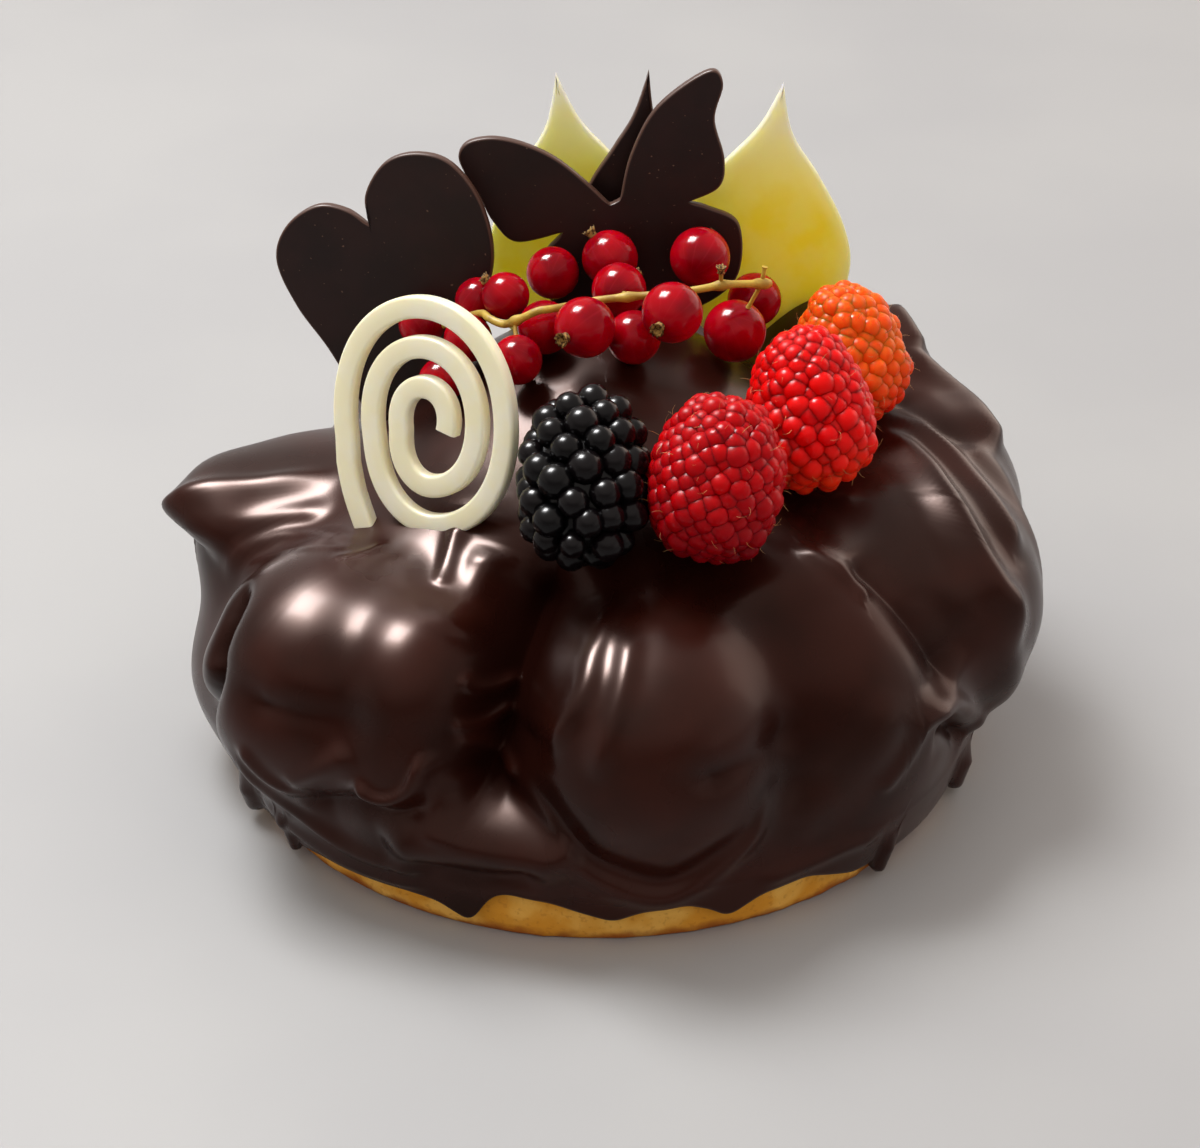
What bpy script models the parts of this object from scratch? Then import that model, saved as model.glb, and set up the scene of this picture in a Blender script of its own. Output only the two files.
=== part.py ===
"""A round cake of cream puffs under one coat of dark chocolate glaze.

A ring of puffs stands round a taller one on a flat pastry base, and the glaze has run over it all in folds.
Chocolate plaques, a trail of redcurrants, a bramble and three raspberries stand on top.
The middle of the base's flat underside is the origin, +Z is up, and -Y is the side that the plaques face.
Sizes below are in millimetres and degrees, and MM turns them to metres where a mesh is made.
"""

import math

import bmesh
import bpy
import numpy as np

MM = 0.001

# ---------------------------------------------------------------- driving dimensions
GAP = 0.3                      # air left between two pieces that touch
BASE_RADIUS = 71.0
BASE_HEIGHT = 12.0
BASE_FOOT = 69.5               # radius of the flat underside
BASE_SIDES = 60
GLAZE_WALL = BASE_RADIUS + GAP     # inside of the glaze, round the base
GLAZE_CEILING = BASE_HEIGHT + GAP
# radius and height of the rings of the base, from the middle of its underside to the middle of its top
BASE_PROFILE = ((BASE_FOOT * 0.5, 0.0), (BASE_FOOT, 0.0), (BASE_RADIUS - 0.5, 1.6), (BASE_RADIUS, 5.0),
                (BASE_RADIUS - 0.3, 9.0), (BASE_RADIUS - 2.0, BASE_HEIGHT), (BASE_RADIUS * 0.5, BASE_HEIGHT))

# The glazed surface is seen from this height on the axis: each direction from it meets the surface once.
SIGHT_HEIGHT = 26.0
FIRST_REACH = 125.0            # the walk to the surface starts this far out
NEAREST_STEP, FARTHEST_STEP = -3.0, 12.0
STEP_SHARE = 0.85              # share of the distance left that each step goes
STEPS = 60
COLUMNS = 92
RINGS = 27
FILLET = 4.0                   # how far the glaze rounds off the corner between two puffs

# name: azimuth, distance from the axis, height of the middle, half sizes (outwards, round the ring, up)
PUFFS = {
    "heap": (0, 0, 18, (69, 69, 46)),
    "mound": (90, 2, 30, (55, 55, 43)),
    "middle": (90, 10, 51, (35, 35, 31)),
    "front": (-81, 56, 36, (25, 25, 23)),
    "front_left": (-143, 60, 36, (26, 25, 23)),
    "front_left_lobe": (-122, 60, 35, (18, 15, 22)),
    "front_right": (-42, 47, 32, (32, 29, 30)),
    "right": (-12, 59, 38, (27, 25, 24)),
    "right_back": (12, 60, 42, (24, 23, 24)),
    "back_right": (38, 60, 46, (21, 23, 23)),
    "back_right_crest": (37, 61.5, 61.5, (13, 16, 14)),
    "back": (75, 57, 40, (25, 27, 24)),
    "back_left": (124, 54, 34, (24, 27, 20)),
    "left": (170, 57, 38, (22, 24, 18)),
    "left_lip": (176, 74, 49, (8, 11, 5)),
    "left_low": (-172, 57, 20, (22, 22, 17)),
}
# the ring where the glaze pooled: its radius, its height, its half width and half height
SKIRT = (60.5, 15.0, 10.0, 15.0)
# the coat on the base: its radius, and the height it reaches
BAND = (69.0, 8.0)

# rise (below zero a crease), width, then the azimuth and elevation of the points it runs through
FOLDS = {
    "shoulder": (3.0, 5.0, ((22, 36), (21, 32), (18, 27), (10, 25), (6, 21))),
    "band": (3.0, 4.5, ((9, 35), (0, 29), (-1, 24), (-1, 20), (-3, 16))),
    "rope": (3.5, 4.0, ((8, 37), (0, 32), (-8, 28), (-17, 24), (-19, 17), (-17, 8))),
    "side_crease": (-4.0, 6.5, ((-154, 21), (-151, 18), (-149, 13), (-148, 8), (-152, 0))),
    "valley": (-3.0, 7.0, ((-42, 28), (-42, 22), (-41, 16), (-37, 10))),
    "junction": (-2.5, 6.5, ((-109, 26), (-107, 19), (-107, 12), (-109, 5))),
}
FOLD_STEPS = 6                 # pieces that each stretch of a fold's line is drawn with
FOLD_ENDS = 5.0                # a fold fades out over this part of its length at each end: one fifth

# azimuth and height of the glaze's hem, with the tongues that ran further down below it
HEM = ((-180, 5), (-141, 3.5), (-130, 6.5), (-114, 6), (-109, 2), (-106, 9.5), (-103, 11), (-97, 10.5),
       (-88, 6), (-80, 9.5), (-74, 7), (-71, 4), (-66, 8), (-59, 9), (-50, 4.5), (-40, 5), (-30, 4.5),
       (-5, 6), (20, 4), (45, 7.5), (70, 4.5), (95, 8), (120, 5), (145, 7), (165, 4.5))
DRIPS = ((-44, 1.0, 1.8), (-18.5, 0.8, 3.0), (-142.5, 1.2, 1.4), (-154, 2.2, 3.0), (60, 1.0, 2.2),
         (118, 1.5, 2.6), (162, 1.0, 2.0))   # azimuth, height of the tip, half width
DRIP_SPREAD = 1.3              # a drip stands out over this many half widths,
DRIP_BULGE = 0.8               # by this share of its half width,
DRIP_FADE = 5.0                # growing over this height below the base's top
HEM_THICKNESS = 2.0
HEM_LIP = 0.2                  # how much higher the inner edge of the hem lies than the outer one

# ---------------------------------------------------------------- plaques
PLAQUE = 2.2                   # thickness
HEART = ((-3.5, 31), (-4.5, 37), (-1, 43.5), (5, 46), (12, 44.5), (18, 37), (20.5, 26), (17.5, 15), (10, 4),
         (-2, -11), (-11, 4.5), (-18, 14), (-22, 23), (-20, 30), (-14, 34.5), (-8, 34))
HEART_CORNERS = (0, 9)
BUTTERFLY = ((0, 19), (-4, 23), (-10, 28), (-16, 31), (-22, 32.4), (-27, 31.6), (-29, 29), (-28, 25.5),
             (-25.3, 21), (-22.5, 15.5), (-18, 11.5), (-9, 13.5), (-14, 7), (-12, 0), (-4, -4), (2, -6.5),
             (8, -4.5), (19, -1), (25, 5), (25, 15), (19, 18.5), (15, 19.5), (21, 22.5), (22, 28), (20, 36),
             (21.5, 43), (18.5, 45.5), (9, 38.5), (4, 29), (2, 20))
BUTTERFLY_CORNERS = (0, 11, 21, 29)
FLAME = ((1.5, 47), (3.5, 37), (9, 28), (14, 18), (15.5, 9), (12, -2), (4, -8), (-4, -9), (-12, -5), (-18, 4),
         (-19, 15), (-16.5, 24), (-9, 32), (-3, 38.5))
FLAME_CORNERS = (0,)
# name: outline, corners, width and height factors (a negative width mirrors it), foot, turn, lean, material
PLAQUES = {
    "dark_heart": (HEART, HEART_CORNERS, (1, 1), (-41.2, 22, 66), -8, 10, "dark_chocolate"),
    "dark_butterfly": (BUTTERFLY, BUTTERFLY_CORNERS, (1, 1), (2, 30, 80), 0, 8, "dark_chocolate"),
    "dark_flame": (FLAME, FLAME_CORNERS, (0.65, 1.02), (8.5, 37, 75), 0, 5, "dark_chocolate"),
    "yellow_flame_left": (FLAME, FLAME_CORNERS, (-1, 1.06), (-7, 45, 69), 0, 5, "yellow_chocolate"),
    "yellow_flame_right": (FLAME, FLAME_CORNERS, (1, 1), (34, 40, 72), 0, 5, "yellow_chocolate"),
}

# The piped spiral: an oval of bands that steps inwards over the last part of each turn.
SPIRAL_FOOT = (-36.5, -22.5, 58.0)
SPIRAL_TURN = -30
SPIRAL_LEAN = 15
SPIRAL_MIDDLE = (2.6, 22.5)
SPIRAL_RADIUS = 20.0
SPIRAL_SLOPE = 2.9             # how far a turn closes in evenly
SPIRAL_STEP = 3.8              # and how far it steps in over its last part
SPIRAL_STEP_START = 0.78
SPIRAL_TURNS = 2.6
SPIRAL_START = 203             # direction of the first turn's start, where the straight tail joins it
SPIRAL_TALL = 100              # direction in which the oval is longest, and by what share
SPIRAL_OVAL = 0.1
SPIRAL_TAIL = ((-7.0, -3.5), (-10.8, 6.5))
BAND_WIDTH = 4.2
BAND_DEPTH = 3.0
SPIRAL_STATIONS = 56

# ---------------------------------------------------------------- fruit
# place of each currant's middle and its radius
CURRANTS = (
    (3.7, 13.3, 90.1, 5.2), (-10.3, 4.6, 86.7, 5.1), (6.4, 0.6, 86.7, 5.1), (30.4, 32.6, 78.1, 5.3),
    (2.0, 24.3, 91.3, 5.4), (19.3, 24.0, 91.7, 5.8), (-9.0, 24.2, 88.2, 5.1), (-17.7, 10.5, 90.3, 4.5),
    (-15.3, -4.4, 84.6, 4.7), (-2.7, -4.6, 91.5, 5.7), (13.4, -4.4, 94.5, 5.7), (25.8, 12.6, 81.7, 6.0),
    (-23.2, 16.8, 86.1, 4.4), (-34.1, 17.2, 80.9, 4.5), (-24.9, 8.0, 82.6, 4.6), (-29.9, 2.2, 76.6, 4.3),
)
CURRANT_SEGMENTS = 12
CURRANT_RINGS = 6

STALK = ((-31.5, 12, 88), (-26, 8.5, 89.5), (-20.6, 5.2, 88.2), (-17.7, 2.8, 88.3), (-14.4, 0.3, 90.9),
         (-11.4, -0.5, 92.8), (-8.6, 0.2, 92.9), (-3.6, 2.8, 92.6), (0.6, 3.5, 93.1), (8.1, 4.5, 93.4),
         (13.1, 4.5, 93.8), (18.2, 5, 94.4), (23.5, 7, 94.4), (28.3, 9.5, 93.3), (32.2, 12, 92.1))
STALK_RADIUS = 0.75
PEDICEL_RADIUS = 0.5
STALK_SIDES = 6
NEAREST_TWIG, FARTHEST_TWIG = 2.6, 9.0   # a currant whose skin is this far from the stalk has a twig

# name: middle, half width, half length, lean (to +Y, to +X), rows, drupelets round, bump, material
DRUPE_BERRIES = {
    "bramble": ((-2.9, -35.6, 77.1), 11.0, 17.0, (54, 0), 8, 9, 1.3, "bramble_skin"),
    "raspberry_1": ((21.6, -37.0, 78.4), 12.6, 15.0, (20, 0), 7, 11, 0.8, "raspberry_skin"),
    "raspberry_2": ((38.4, -14.3, 79.9), 12.4, 15.0, (20, -4), 7, 11, 0.8, "raspberry_skin"),
    "raspberry_3": ((48.4, 9.5, 78.8), 10.4, 12.6, (16, 12), 7, 11, 0.7, "orange_raspberry_skin"),
}
BERRY_FULLNESS = 0.85          # below one the berry is fuller than an ellipsoid,
BERRY_TAPER = 0.08             # and it is this much slimmer at its top than at its foot

# name: sRGB colour, roughness
FINISHES = {
    "glaze": ((0.16, 0.08, 0.06), 0.2),
    "golden_pastry": ((0.86, 0.58, 0.18), 0.7),
    "dark_chocolate": ((0.14, 0.07, 0.06), 0.45),
    "yellow_chocolate": ((0.82, 0.70, 0.28), 0.4),
    "white_chocolate": ((0.91, 0.88, 0.74), 0.4),
    "currant_skin": ((0.69, 0.04, 0.12), 0.1),
    "stem": ((0.72, 0.59, 0.17), 0.6),
    "bramble_skin": ((0.06, 0.06, 0.07), 0.15),
    "raspberry_skin": ((0.82, 0.06, 0.10), 0.35),
    "orange_raspberry_skin": ((0.94, 0.38, 0.19), 0.35),
}


# ---------------------------------------------------------------- helpers
def clear_scene():
    for thing in list(bpy.data.objects):
        bpy.data.objects.remove(thing, do_unlink=True)


def linear(channel):
    """An sRGB channel as a linear value."""
    return channel / 12.92 if channel <= 0.04045 else ((channel + 0.055) / 1.055) ** 2.4


def finish(name):
    """The Principled material of that name."""
    known = bpy.data.materials.get(name)
    if known:
        return known
    colour, roughness = FINISHES[name]
    material = bpy.data.materials.new(name)
    material.use_nodes = True
    shader = material.node_tree.nodes["Principled BSDF"]
    shader.inputs["Base Color"].default_value = (*(linear(c) for c in colour), 1.0)
    shader.inputs["Roughness"].default_value = roughness
    shader.inputs["Metallic"].default_value = 0.0
    return material


def make_object(name, mesh_tool, material_name, parent):
    """One named object from a bmesh whose sizes are in millimetres."""
    bmesh.ops.recalc_face_normals(mesh_tool, faces=mesh_tool.faces)
    bmesh.ops.scale(mesh_tool, vec=(MM, MM, MM), verts=mesh_tool.verts)
    mesh = bpy.data.meshes.new(name)
    mesh_tool.to_mesh(mesh)
    mesh_tool.free()
    mesh.materials.append(finish(material_name))
    mesh.shade_smooth()
    mesh.set_sharp_from_angle(angle=math.radians(40))
    thing = bpy.data.objects.new(name, mesh)
    bpy.context.collection.objects.link(thing)
    thing.parent = parent
    return thing


def hide_cutter(thing):
    thing.hide_render = True
    thing.display_type = "WIRE"


def closed_rings(mesh_tool, first_pole, rings, last_pole):
    """Skin a pile of rings, with a point to close each end."""
    start = mesh_tool.verts.new(first_pole)
    end = mesh_tool.verts.new(last_pole)
    rows = [[mesh_tool.verts.new(point) for point in ring] for ring in rings]
    count = len(rows[0])
    for j in range(count):
        k = (j + 1) % count
        mesh_tool.faces.new((start, rows[0][j], rows[0][k]))
        mesh_tool.faces.new((rows[-1][j], end, rows[-1][k]))
        for upper, lower in zip(rows[:-1], rows[1:]):
            mesh_tool.faces.new((upper[j], lower[j], lower[k], upper[k]))


def smooth_line(points, steps, closed=False, corners=()):
    """A Catmull-Rom curve through the points, that turns sharply at the corners and at open ends."""
    points = np.array(points, float)
    count = len(points)
    curve = []
    for i in range(count if closed else count - 1):
        a, b = points[i], points[(i + 1) % count]
        before = a if (i in corners or (i == 0 and not closed)) else points[i - 1]
        last = i + 2 > count - 1 and not closed
        after = b if ((i + 1) % count in corners or last) else points[(i + 2) % count]
        for t in np.arange(steps) / steps:
            curve.append(0.5 * (2 * a + (b - before) * t + (2 * before - 5 * a + 4 * b - after) * t ** 2
                                + (3 * a - before - 3 * b + after) * t ** 3))
    if not closed:
        curve.append(points[-1])
    return np.array(curve)


def tube(mesh_tool, path, radius_of, sides):
    """A round bar along a line of points, its end caps filled."""
    path = np.array(path, float)
    ways = np.gradient(path, axis=0)
    ways /= np.linalg.norm(ways, axis=1)[:, None]
    rings = []
    across = np.cross(ways[0], (0.0, 0.3, 1.0))
    for i, (point, way) in enumerate(zip(path, ways)):
        across = across - way * (across @ way)
        across /= np.linalg.norm(across)
        other = np.cross(way, across)
        angles = np.arange(sides) / sides * math.tau
        rings.append([point + radius_of(i) * (math.cos(a) * across + math.sin(a) * other) for a in angles])
    closed_rings(mesh_tool, path[0], rings, path[-1])


# ---------------------------------------------------------------- the glazed surface
def ellipsoid_distance(points, azimuth, radius, height, halves):
    """Distance from each point to one puff, below zero inside it."""
    a = math.radians(azimuth)
    out, along = np.array((math.cos(a), math.sin(a))), np.array((-math.sin(a), math.cos(a)))
    offset = points - np.array((radius * out[0], radius * out[1], height))
    local = np.stack((offset[:, :2] @ out, offset[:, :2] @ along, offset[:, 2]), 1) / np.array(halves)
    share = np.linalg.norm(local, axis=1)
    slope = np.linalg.norm(local / np.array(halves), axis=1)
    return share * (share - 1.0) / np.maximum(slope, 1e-9)


def glaze_distance(points):
    """Distance to the glaze: the puffs, the pooled ring and the coat on the base, melted together."""
    reach = np.hypot(points[:, 0], points[:, 1])
    parts = [ellipsoid_distance(points, *puff) for puff in PUFFS.values()]
    ring, height, wide, tall = SKIRT
    parts.append((np.hypot((reach - ring) / wide, (points[:, 2] - height) / tall) - 1.0) * min(wide, tall))
    parts.append(np.maximum(reach - BAND[0], points[:, 2] - BAND[1]))
    parts = np.array(parts)
    nearest = parts.min(0)
    return nearest - FILLET * np.log(np.exp((nearest - parts) / FILLET).sum(0))


def directions(azimuth, elevation):
    a, e = np.radians(azimuth), np.radians(elevation)
    return np.stack((np.cos(e) * np.cos(a), np.cos(e) * np.sin(a), np.sin(e)), -1)


def plain_surface(ways):
    """Walk in from outside along each direction until the glaze is met."""
    eye = np.array((0.0, 0.0, SIGHT_HEIGHT))
    distance = np.full(len(ways), FIRST_REACH)
    for _ in range(STEPS):
        left = glaze_distance(eye + distance[:, None] * ways)
        distance -= np.clip(left, NEAREST_STEP, FARTHEST_STEP) * STEP_SHARE
    return eye + distance[:, None] * ways


def distance_to_line(points, line):
    """How far each point is from a line of points, and how far along it that is, from 0 to 1."""
    best = np.full(len(points), 1e9)
    where = np.zeros(len(points))
    lengths = np.linalg.norm(np.diff(line, axis=0), axis=1)
    starts = np.concatenate(((0.0,), np.cumsum(lengths)))
    for a, b, length, start in zip(line[:-1], line[1:], lengths, starts):
        t = np.clip((points - a) @ (b - a) / length ** 2, 0.0, 1.0)
        away = np.linalg.norm(points - a - t[:, None] * (b - a), axis=1)
        where = np.where(away < best, (start + t * length) / starts[-1], where)
        best = np.minimum(best, away)
    return best, where


def glaze_surface(ways):
    """The glaze in each direction, with its folds pushed out and its creases pushed in."""
    points = plain_surface(ways)
    push = np.zeros(len(points))
    for rise, width, path in FOLDS.values():
        seen = smooth_line(path, FOLD_STEPS)
        away, where = distance_to_line(points, plain_surface(directions(seen[:, 0], seen[:, 1])))
        fade = np.clip(np.minimum(where, 1.0 - where) * FOLD_ENDS, 0.0, 1.0)
        push += rise * fade ** 2 * (3.0 - 2.0 * fade) * np.exp(-(away / width) ** 2)
    return points + push[:, None] * ways


def across_drip(azimuth, turn, half):
    """How far round the base an azimuth is from a drip's middle, in the drip's half widths."""
    return math.radians(abs((azimuth - turn + 180) % 360 - 180)) * GLAZE_WALL / half


def hem_height(azimuth):
    """How high above the ground the glaze ends, with the drips that hang from it."""
    turns, heights = np.array(HEM, float).T
    height = np.interp(azimuth, turns, heights, period=360)
    for turn, tip, half in DRIPS:
        across = across_drip(azimuth, turn, half)
        if across < 1.0:
            height = min(height, tip + half * (1.0 - math.sqrt(1.0 - across ** 2)))
    return height


def drip_bulge(azimuth, height):
    """How far a drip stands out from the coat round it."""
    bulge = 0.0
    for turn, _, half in DRIPS:
        across = across_drip(azimuth, turn, half) / DRIP_SPREAD
        if across < 1.0 and height < BASE_HEIGHT:
            grown = min(1.0, (BASE_HEIGHT - height) / DRIP_FADE)
            bulge = max(bulge, DRIP_BULGE * half * math.cos(across * math.pi / 2) * grown)
    return bulge


def glaze_columns():
    """Azimuths of the mesh's columns: evenly spaced, with three on each drip."""
    halves = [(turn, math.degrees(half / GLAZE_WALL)) for turn, _, half in DRIPS]
    drips = [turn + side * half for turn, half in halves for side in (-1.05, 0, 1.05)]
    even = np.linspace(-180, 180, COLUMNS, endpoint=False)
    free = 0.4 * 360 / COLUMNS
    return np.array(sorted(drips + [a for a in even if min(abs(a - d) for d in drips) > free]))


def build_glazed_puffs(parent):
    columns = glaze_columns()
    hem = np.array([hem_height(a) for a in columns])
    lowest = np.degrees(np.arctan2(hem - SIGHT_HEIGHT, GLAZE_WALL + HEM_THICKNESS))
    rings = []
    for i in range(1, RINGS + 1):
        elevation = 90 + (lowest - 90) * i / RINGS
        rings.append(glaze_surface(directions(columns, elevation)))
    for j, azimuth in enumerate(columns):
        out = directions(np.array([azimuth]), np.array([0.0]))[0]
        for ring in rings[-4:]:
            ring[j] += out * drip_bulge(azimuth, ring[j][2])
    flat = directions(columns, 0 * columns)
    for radius, heights in ((GLAZE_WALL, hem + HEM_LIP), (GLAZE_WALL, 0 * hem + GLAZE_CEILING),
                            (GLAZE_WALL * 0.5, 0 * hem + GLAZE_CEILING)):
        rings.append(flat * radius + np.stack((0 * heights, 0 * heights, heights), 1))
    top = glaze_surface(directions(np.array([0.0]), np.array([90.0])))[0]
    mesh_tool = bmesh.new()
    closed_rings(mesh_tool, top, rings, (0, 0, GLAZE_CEILING))
    bmesh.ops.triangulate(mesh_tool, faces=mesh_tool.faces)
    return make_object("glazed_puffs", mesh_tool, "glaze", parent)


def build_base(parent):
    """A flat round of pastry with a rounded shoulder."""
    flat = directions(np.linspace(0, 360, BASE_SIDES, endpoint=False), np.zeros(BASE_SIDES))
    rings = [flat * radius + np.array((0, 0, height)) for radius, height in BASE_PROFILE]
    mesh_tool = bmesh.new()
    closed_rings(mesh_tool, (0, 0, 0), rings, (0, 0, BASE_HEIGHT))
    return make_object("pastry_base", mesh_tool, "golden_pastry", parent)


# ---------------------------------------------------------------- plaques
def stand(thing, foot, turn, lean):
    """Put a plaque drawn in X and Z on its foot, turned about the vertical and then leaning back."""
    thing.location = [c * MM for c in foot]
    thing.rotation_euler = (-math.radians(lean), 0.0, math.radians(turn))


def plaque_mesh(outline, thickness, grow):
    """A flat plate of that outline, drawn in X and Z; grow pushes its edge outwards all round."""
    after, before = np.roll(outline, -1, 0), np.roll(outline, 1, 0)
    along = after - before
    outward = np.stack((along[:, 1], -along[:, 0]), 1)
    outward /= np.linalg.norm(outward, axis=1)[:, None]
    turning = np.sum(outline[:, 0] * after[:, 1] - after[:, 0] * outline[:, 1])
    edge = outline + outward * grow * (1 if turning > 0 else -1)
    half = thickness / 2 + grow
    mesh_tool = bmesh.new()
    front, back = [[mesh_tool.verts.new((x, y, z)) for x, z in edge] for y in (-half, half)]
    mesh_tool.faces.new(front)
    mesh_tool.faces.new(back[::-1])
    for i in range(len(edge)):
        k = (i + 1) % len(edge)
        mesh_tool.faces.new((front[i], back[i], back[k], front[k]))
    bmesh.ops.triangulate(mesh_tool, faces=mesh_tool.faces, ngon_method="EAR_CLIP")
    return mesh_tool


def build_plaques(parent, cutters):
    for name, (points, corners, factors, foot, turn, lean, material) in PLAQUES.items():
        outline = smooth_line(points, 2, closed=True, corners=corners) * factors
        stand(make_object(name, plaque_mesh(outline, PLAQUE, 0.0), material, parent), foot, turn, lean)
        cutter = make_object(name + "_slot", plaque_mesh(outline, PLAQUE, GAP), material, parent)
        stand(cutter, foot, turn, lean)
        cutters.append(cutter)


def spiral_line():
    """The middle of the piped band, from the tail at its foot to the inner end."""
    line = [np.array(p, float) for p in SPIRAL_TAIL]
    for turns in np.linspace(0.0, SPIRAL_TURNS, SPIRAL_STATIONS):
        whole, part = divmod(turns, 1.0)
        ease = np.clip((part - SPIRAL_STEP_START) / (1.0 - SPIRAL_STEP_START), 0.0, 1.0)
        radius = SPIRAL_RADIUS - SPIRAL_SLOPE * turns - SPIRAL_STEP * (whole + ease ** 2 * (3 - 2 * ease))
        way = SPIRAL_START - 360 * turns
        radius *= 1.0 + SPIRAL_OVAL * math.cos(2 * math.radians(way - SPIRAL_TALL))
        way = math.radians(way)
        line.append(np.array(SPIRAL_MIDDLE) + radius * np.array((math.cos(way), math.sin(way))))
    return np.array(line)


def spiral_mesh(grow):
    """The band along the spiral line, drawn in X and Z, as a bar with a flat section."""
    line = spiral_line()
    ways = np.gradient(line, axis=0)
    ways /= np.linalg.norm(ways, axis=1)[:, None]
    line[0] -= ways[0] * grow
    line[-1] += ways[-1] * grow
    wide, deep = BAND_WIDTH / 2 + grow, BAND_DEPTH / 2 + grow
    rings = []
    for (x, z), (dx, dz) in zip(line, ways):
        section = ((wide, -deep), (wide, deep), (-wide, deep), (-wide, -deep))
        rings.append([(x - dz * side, depth, z + dx * side) for side, depth in section])
    mesh_tool = bmesh.new()
    closed_rings(mesh_tool, (line[0][0], 0, line[0][1]), rings, (line[-1][0], 0, line[-1][1]))
    return mesh_tool


def build_spiral(parent, cutters):
    for name, grow in (("white_spiral", 0.0), ("white_spiral_slot", GAP)):
        thing = make_object(name, spiral_mesh(grow), "white_chocolate", parent)
        stand(thing, SPIRAL_FOOT, SPIRAL_TURN, SPIRAL_LEAN)
    cutters.append(thing)


# ---------------------------------------------------------------- fruit
def build_currants(parent):
    for number, (x, y, z, radius) in enumerate(CURRANTS, 1):
        mesh_tool = bmesh.new()
        bmesh.ops.create_uvsphere(
            mesh_tool, u_segments=CURRANT_SEGMENTS, v_segments=CURRANT_RINGS, radius=radius)
        currant = make_object(f"redcurrant_{number:02d}", mesh_tool, "currant_skin", parent)
        currant.location = (x * MM, y * MM, z * MM)


def build_stalk(parent):
    """The currants' stem, with a short stem of its own to each berry that it carries."""
    line = smooth_line(STALK, 2)
    mesh_tool = bmesh.new()
    tube(mesh_tool, line, lambda i: STALK_RADIUS, STALK_SIDES)
    stalk = make_object("currant_stalk", mesh_tool, "stem", parent)
    twigs = bpy.data.collections.new("twigs")
    for number, (x, y, z, radius) in enumerate(CURRANTS, 1):
        berry = np.array((x, y, z))
        start = line[np.argmin(np.linalg.norm(line - berry, axis=1))]
        away = np.linalg.norm(berry - start)
        end = berry + (start - berry) * (radius + GAP) / away
        if not NEAREST_TWIG < away - radius < FARTHEST_TWIG:
            continue
        mesh_tool = bmesh.new()
        tube(mesh_tool, (start, (start + end) / 2, end), lambda i: PEDICEL_RADIUS, STALK_SIDES - 1)
        twig = make_object(f"twig_{number:02d}", mesh_tool, "stem", parent)
        twigs.objects.link(twig)
        bpy.context.collection.objects.unlink(twig)
    union = stalk.modifiers.new("twigs", "BOOLEAN")
    union.operation = "UNION"
    union.operand_type = "COLLECTION"
    union.collection = twigs
    union.solver = "EXACT"
    apply_modifiers(stalk)
    for twig in list(twigs.objects):
        bpy.data.objects.remove(twig, do_unlink=True)


def apply_modifiers(thing):
    """Keep the evaluated mesh and drop the modifiers that made it."""
    bpy.context.view_layer.update()
    mesh = bpy.data.meshes.new_from_object(thing.evaluated_get(bpy.context.evaluated_depsgraph_get()))
    thing.modifiers.clear()
    thing.data = mesh


def build_drupe_berry(name, parent):
    """A berry of many small drupelets, set in rows that are shifted by half a step."""
    (x, y, z), half_width, half_length, (back, side), rows, per_row, bump, material = DRUPE_BERRIES[name]
    columns = 2 * per_row
    rings = []
    for i in range(1, 2 * rows):
        polar = math.pi * i / (2 * rows)
        row = i // 2
        ring = []
        for j in range(columns):
            raised = i % 2 == 1 and (j + row) % 2 == 0
            fullness = math.sin(polar) ** BERRY_FULLNESS * (1.0 - BERRY_TAPER * math.cos(polar))
            radius = (half_width - (0.0 if raised else bump)) * fullness
            turn = math.tau * j / columns
            height = (half_length - (0.0 if raised else bump * 0.5)) * math.cos(polar)
            ring.append((radius * math.cos(turn), radius * math.sin(turn), height))
        rings.append(ring)
    mesh_tool = bmesh.new()
    closed_rings(mesh_tool, (0, 0, half_length - bump), rings, (0, 0, bump - half_length))
    berry = make_object(name, mesh_tool, material, parent)
    berry.location = (x * MM, y * MM, z * MM)
    berry.rotation_euler = (-math.radians(back), math.radians(side), 0.0)


# ---------------------------------------------------------------- the whole
def main():
    clear_scene()
    cake = bpy.data.objects.new("cake", None)
    bpy.context.collection.objects.link(cake)
    cutters = []
    build_base(cake)
    puffs = build_glazed_puffs(cake)
    build_plaques(cake, cutters)
    build_spiral(cake, cutters)
    for cutter in cutters:
        hide_cutter(cutter)
        slot = puffs.modifiers.new(cutter.name, "BOOLEAN")
        slot.operation = "DIFFERENCE"
        slot.solver = "EXACT"
        slot.object = cutter
    build_currants(cake)
    build_stalk(cake)
    for name in DRUPE_BERRIES:
        build_drupe_berry(name, cake)


main()
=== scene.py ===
"""A cake of cream puffs under dark chocolate glaze, with its plaques and its fruit.

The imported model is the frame: each piece made here stands where the piece that it takes over from stands.
Sizes below are in millimetres and degrees, and MM turns them to metres where a mesh is made.
An azimuth is counted from +X towards +Y, and -Y is the side that the plaques face.
"""
import math

import bpy
import numpy as np
from mathutils import Euler, Matrix, Vector


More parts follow.
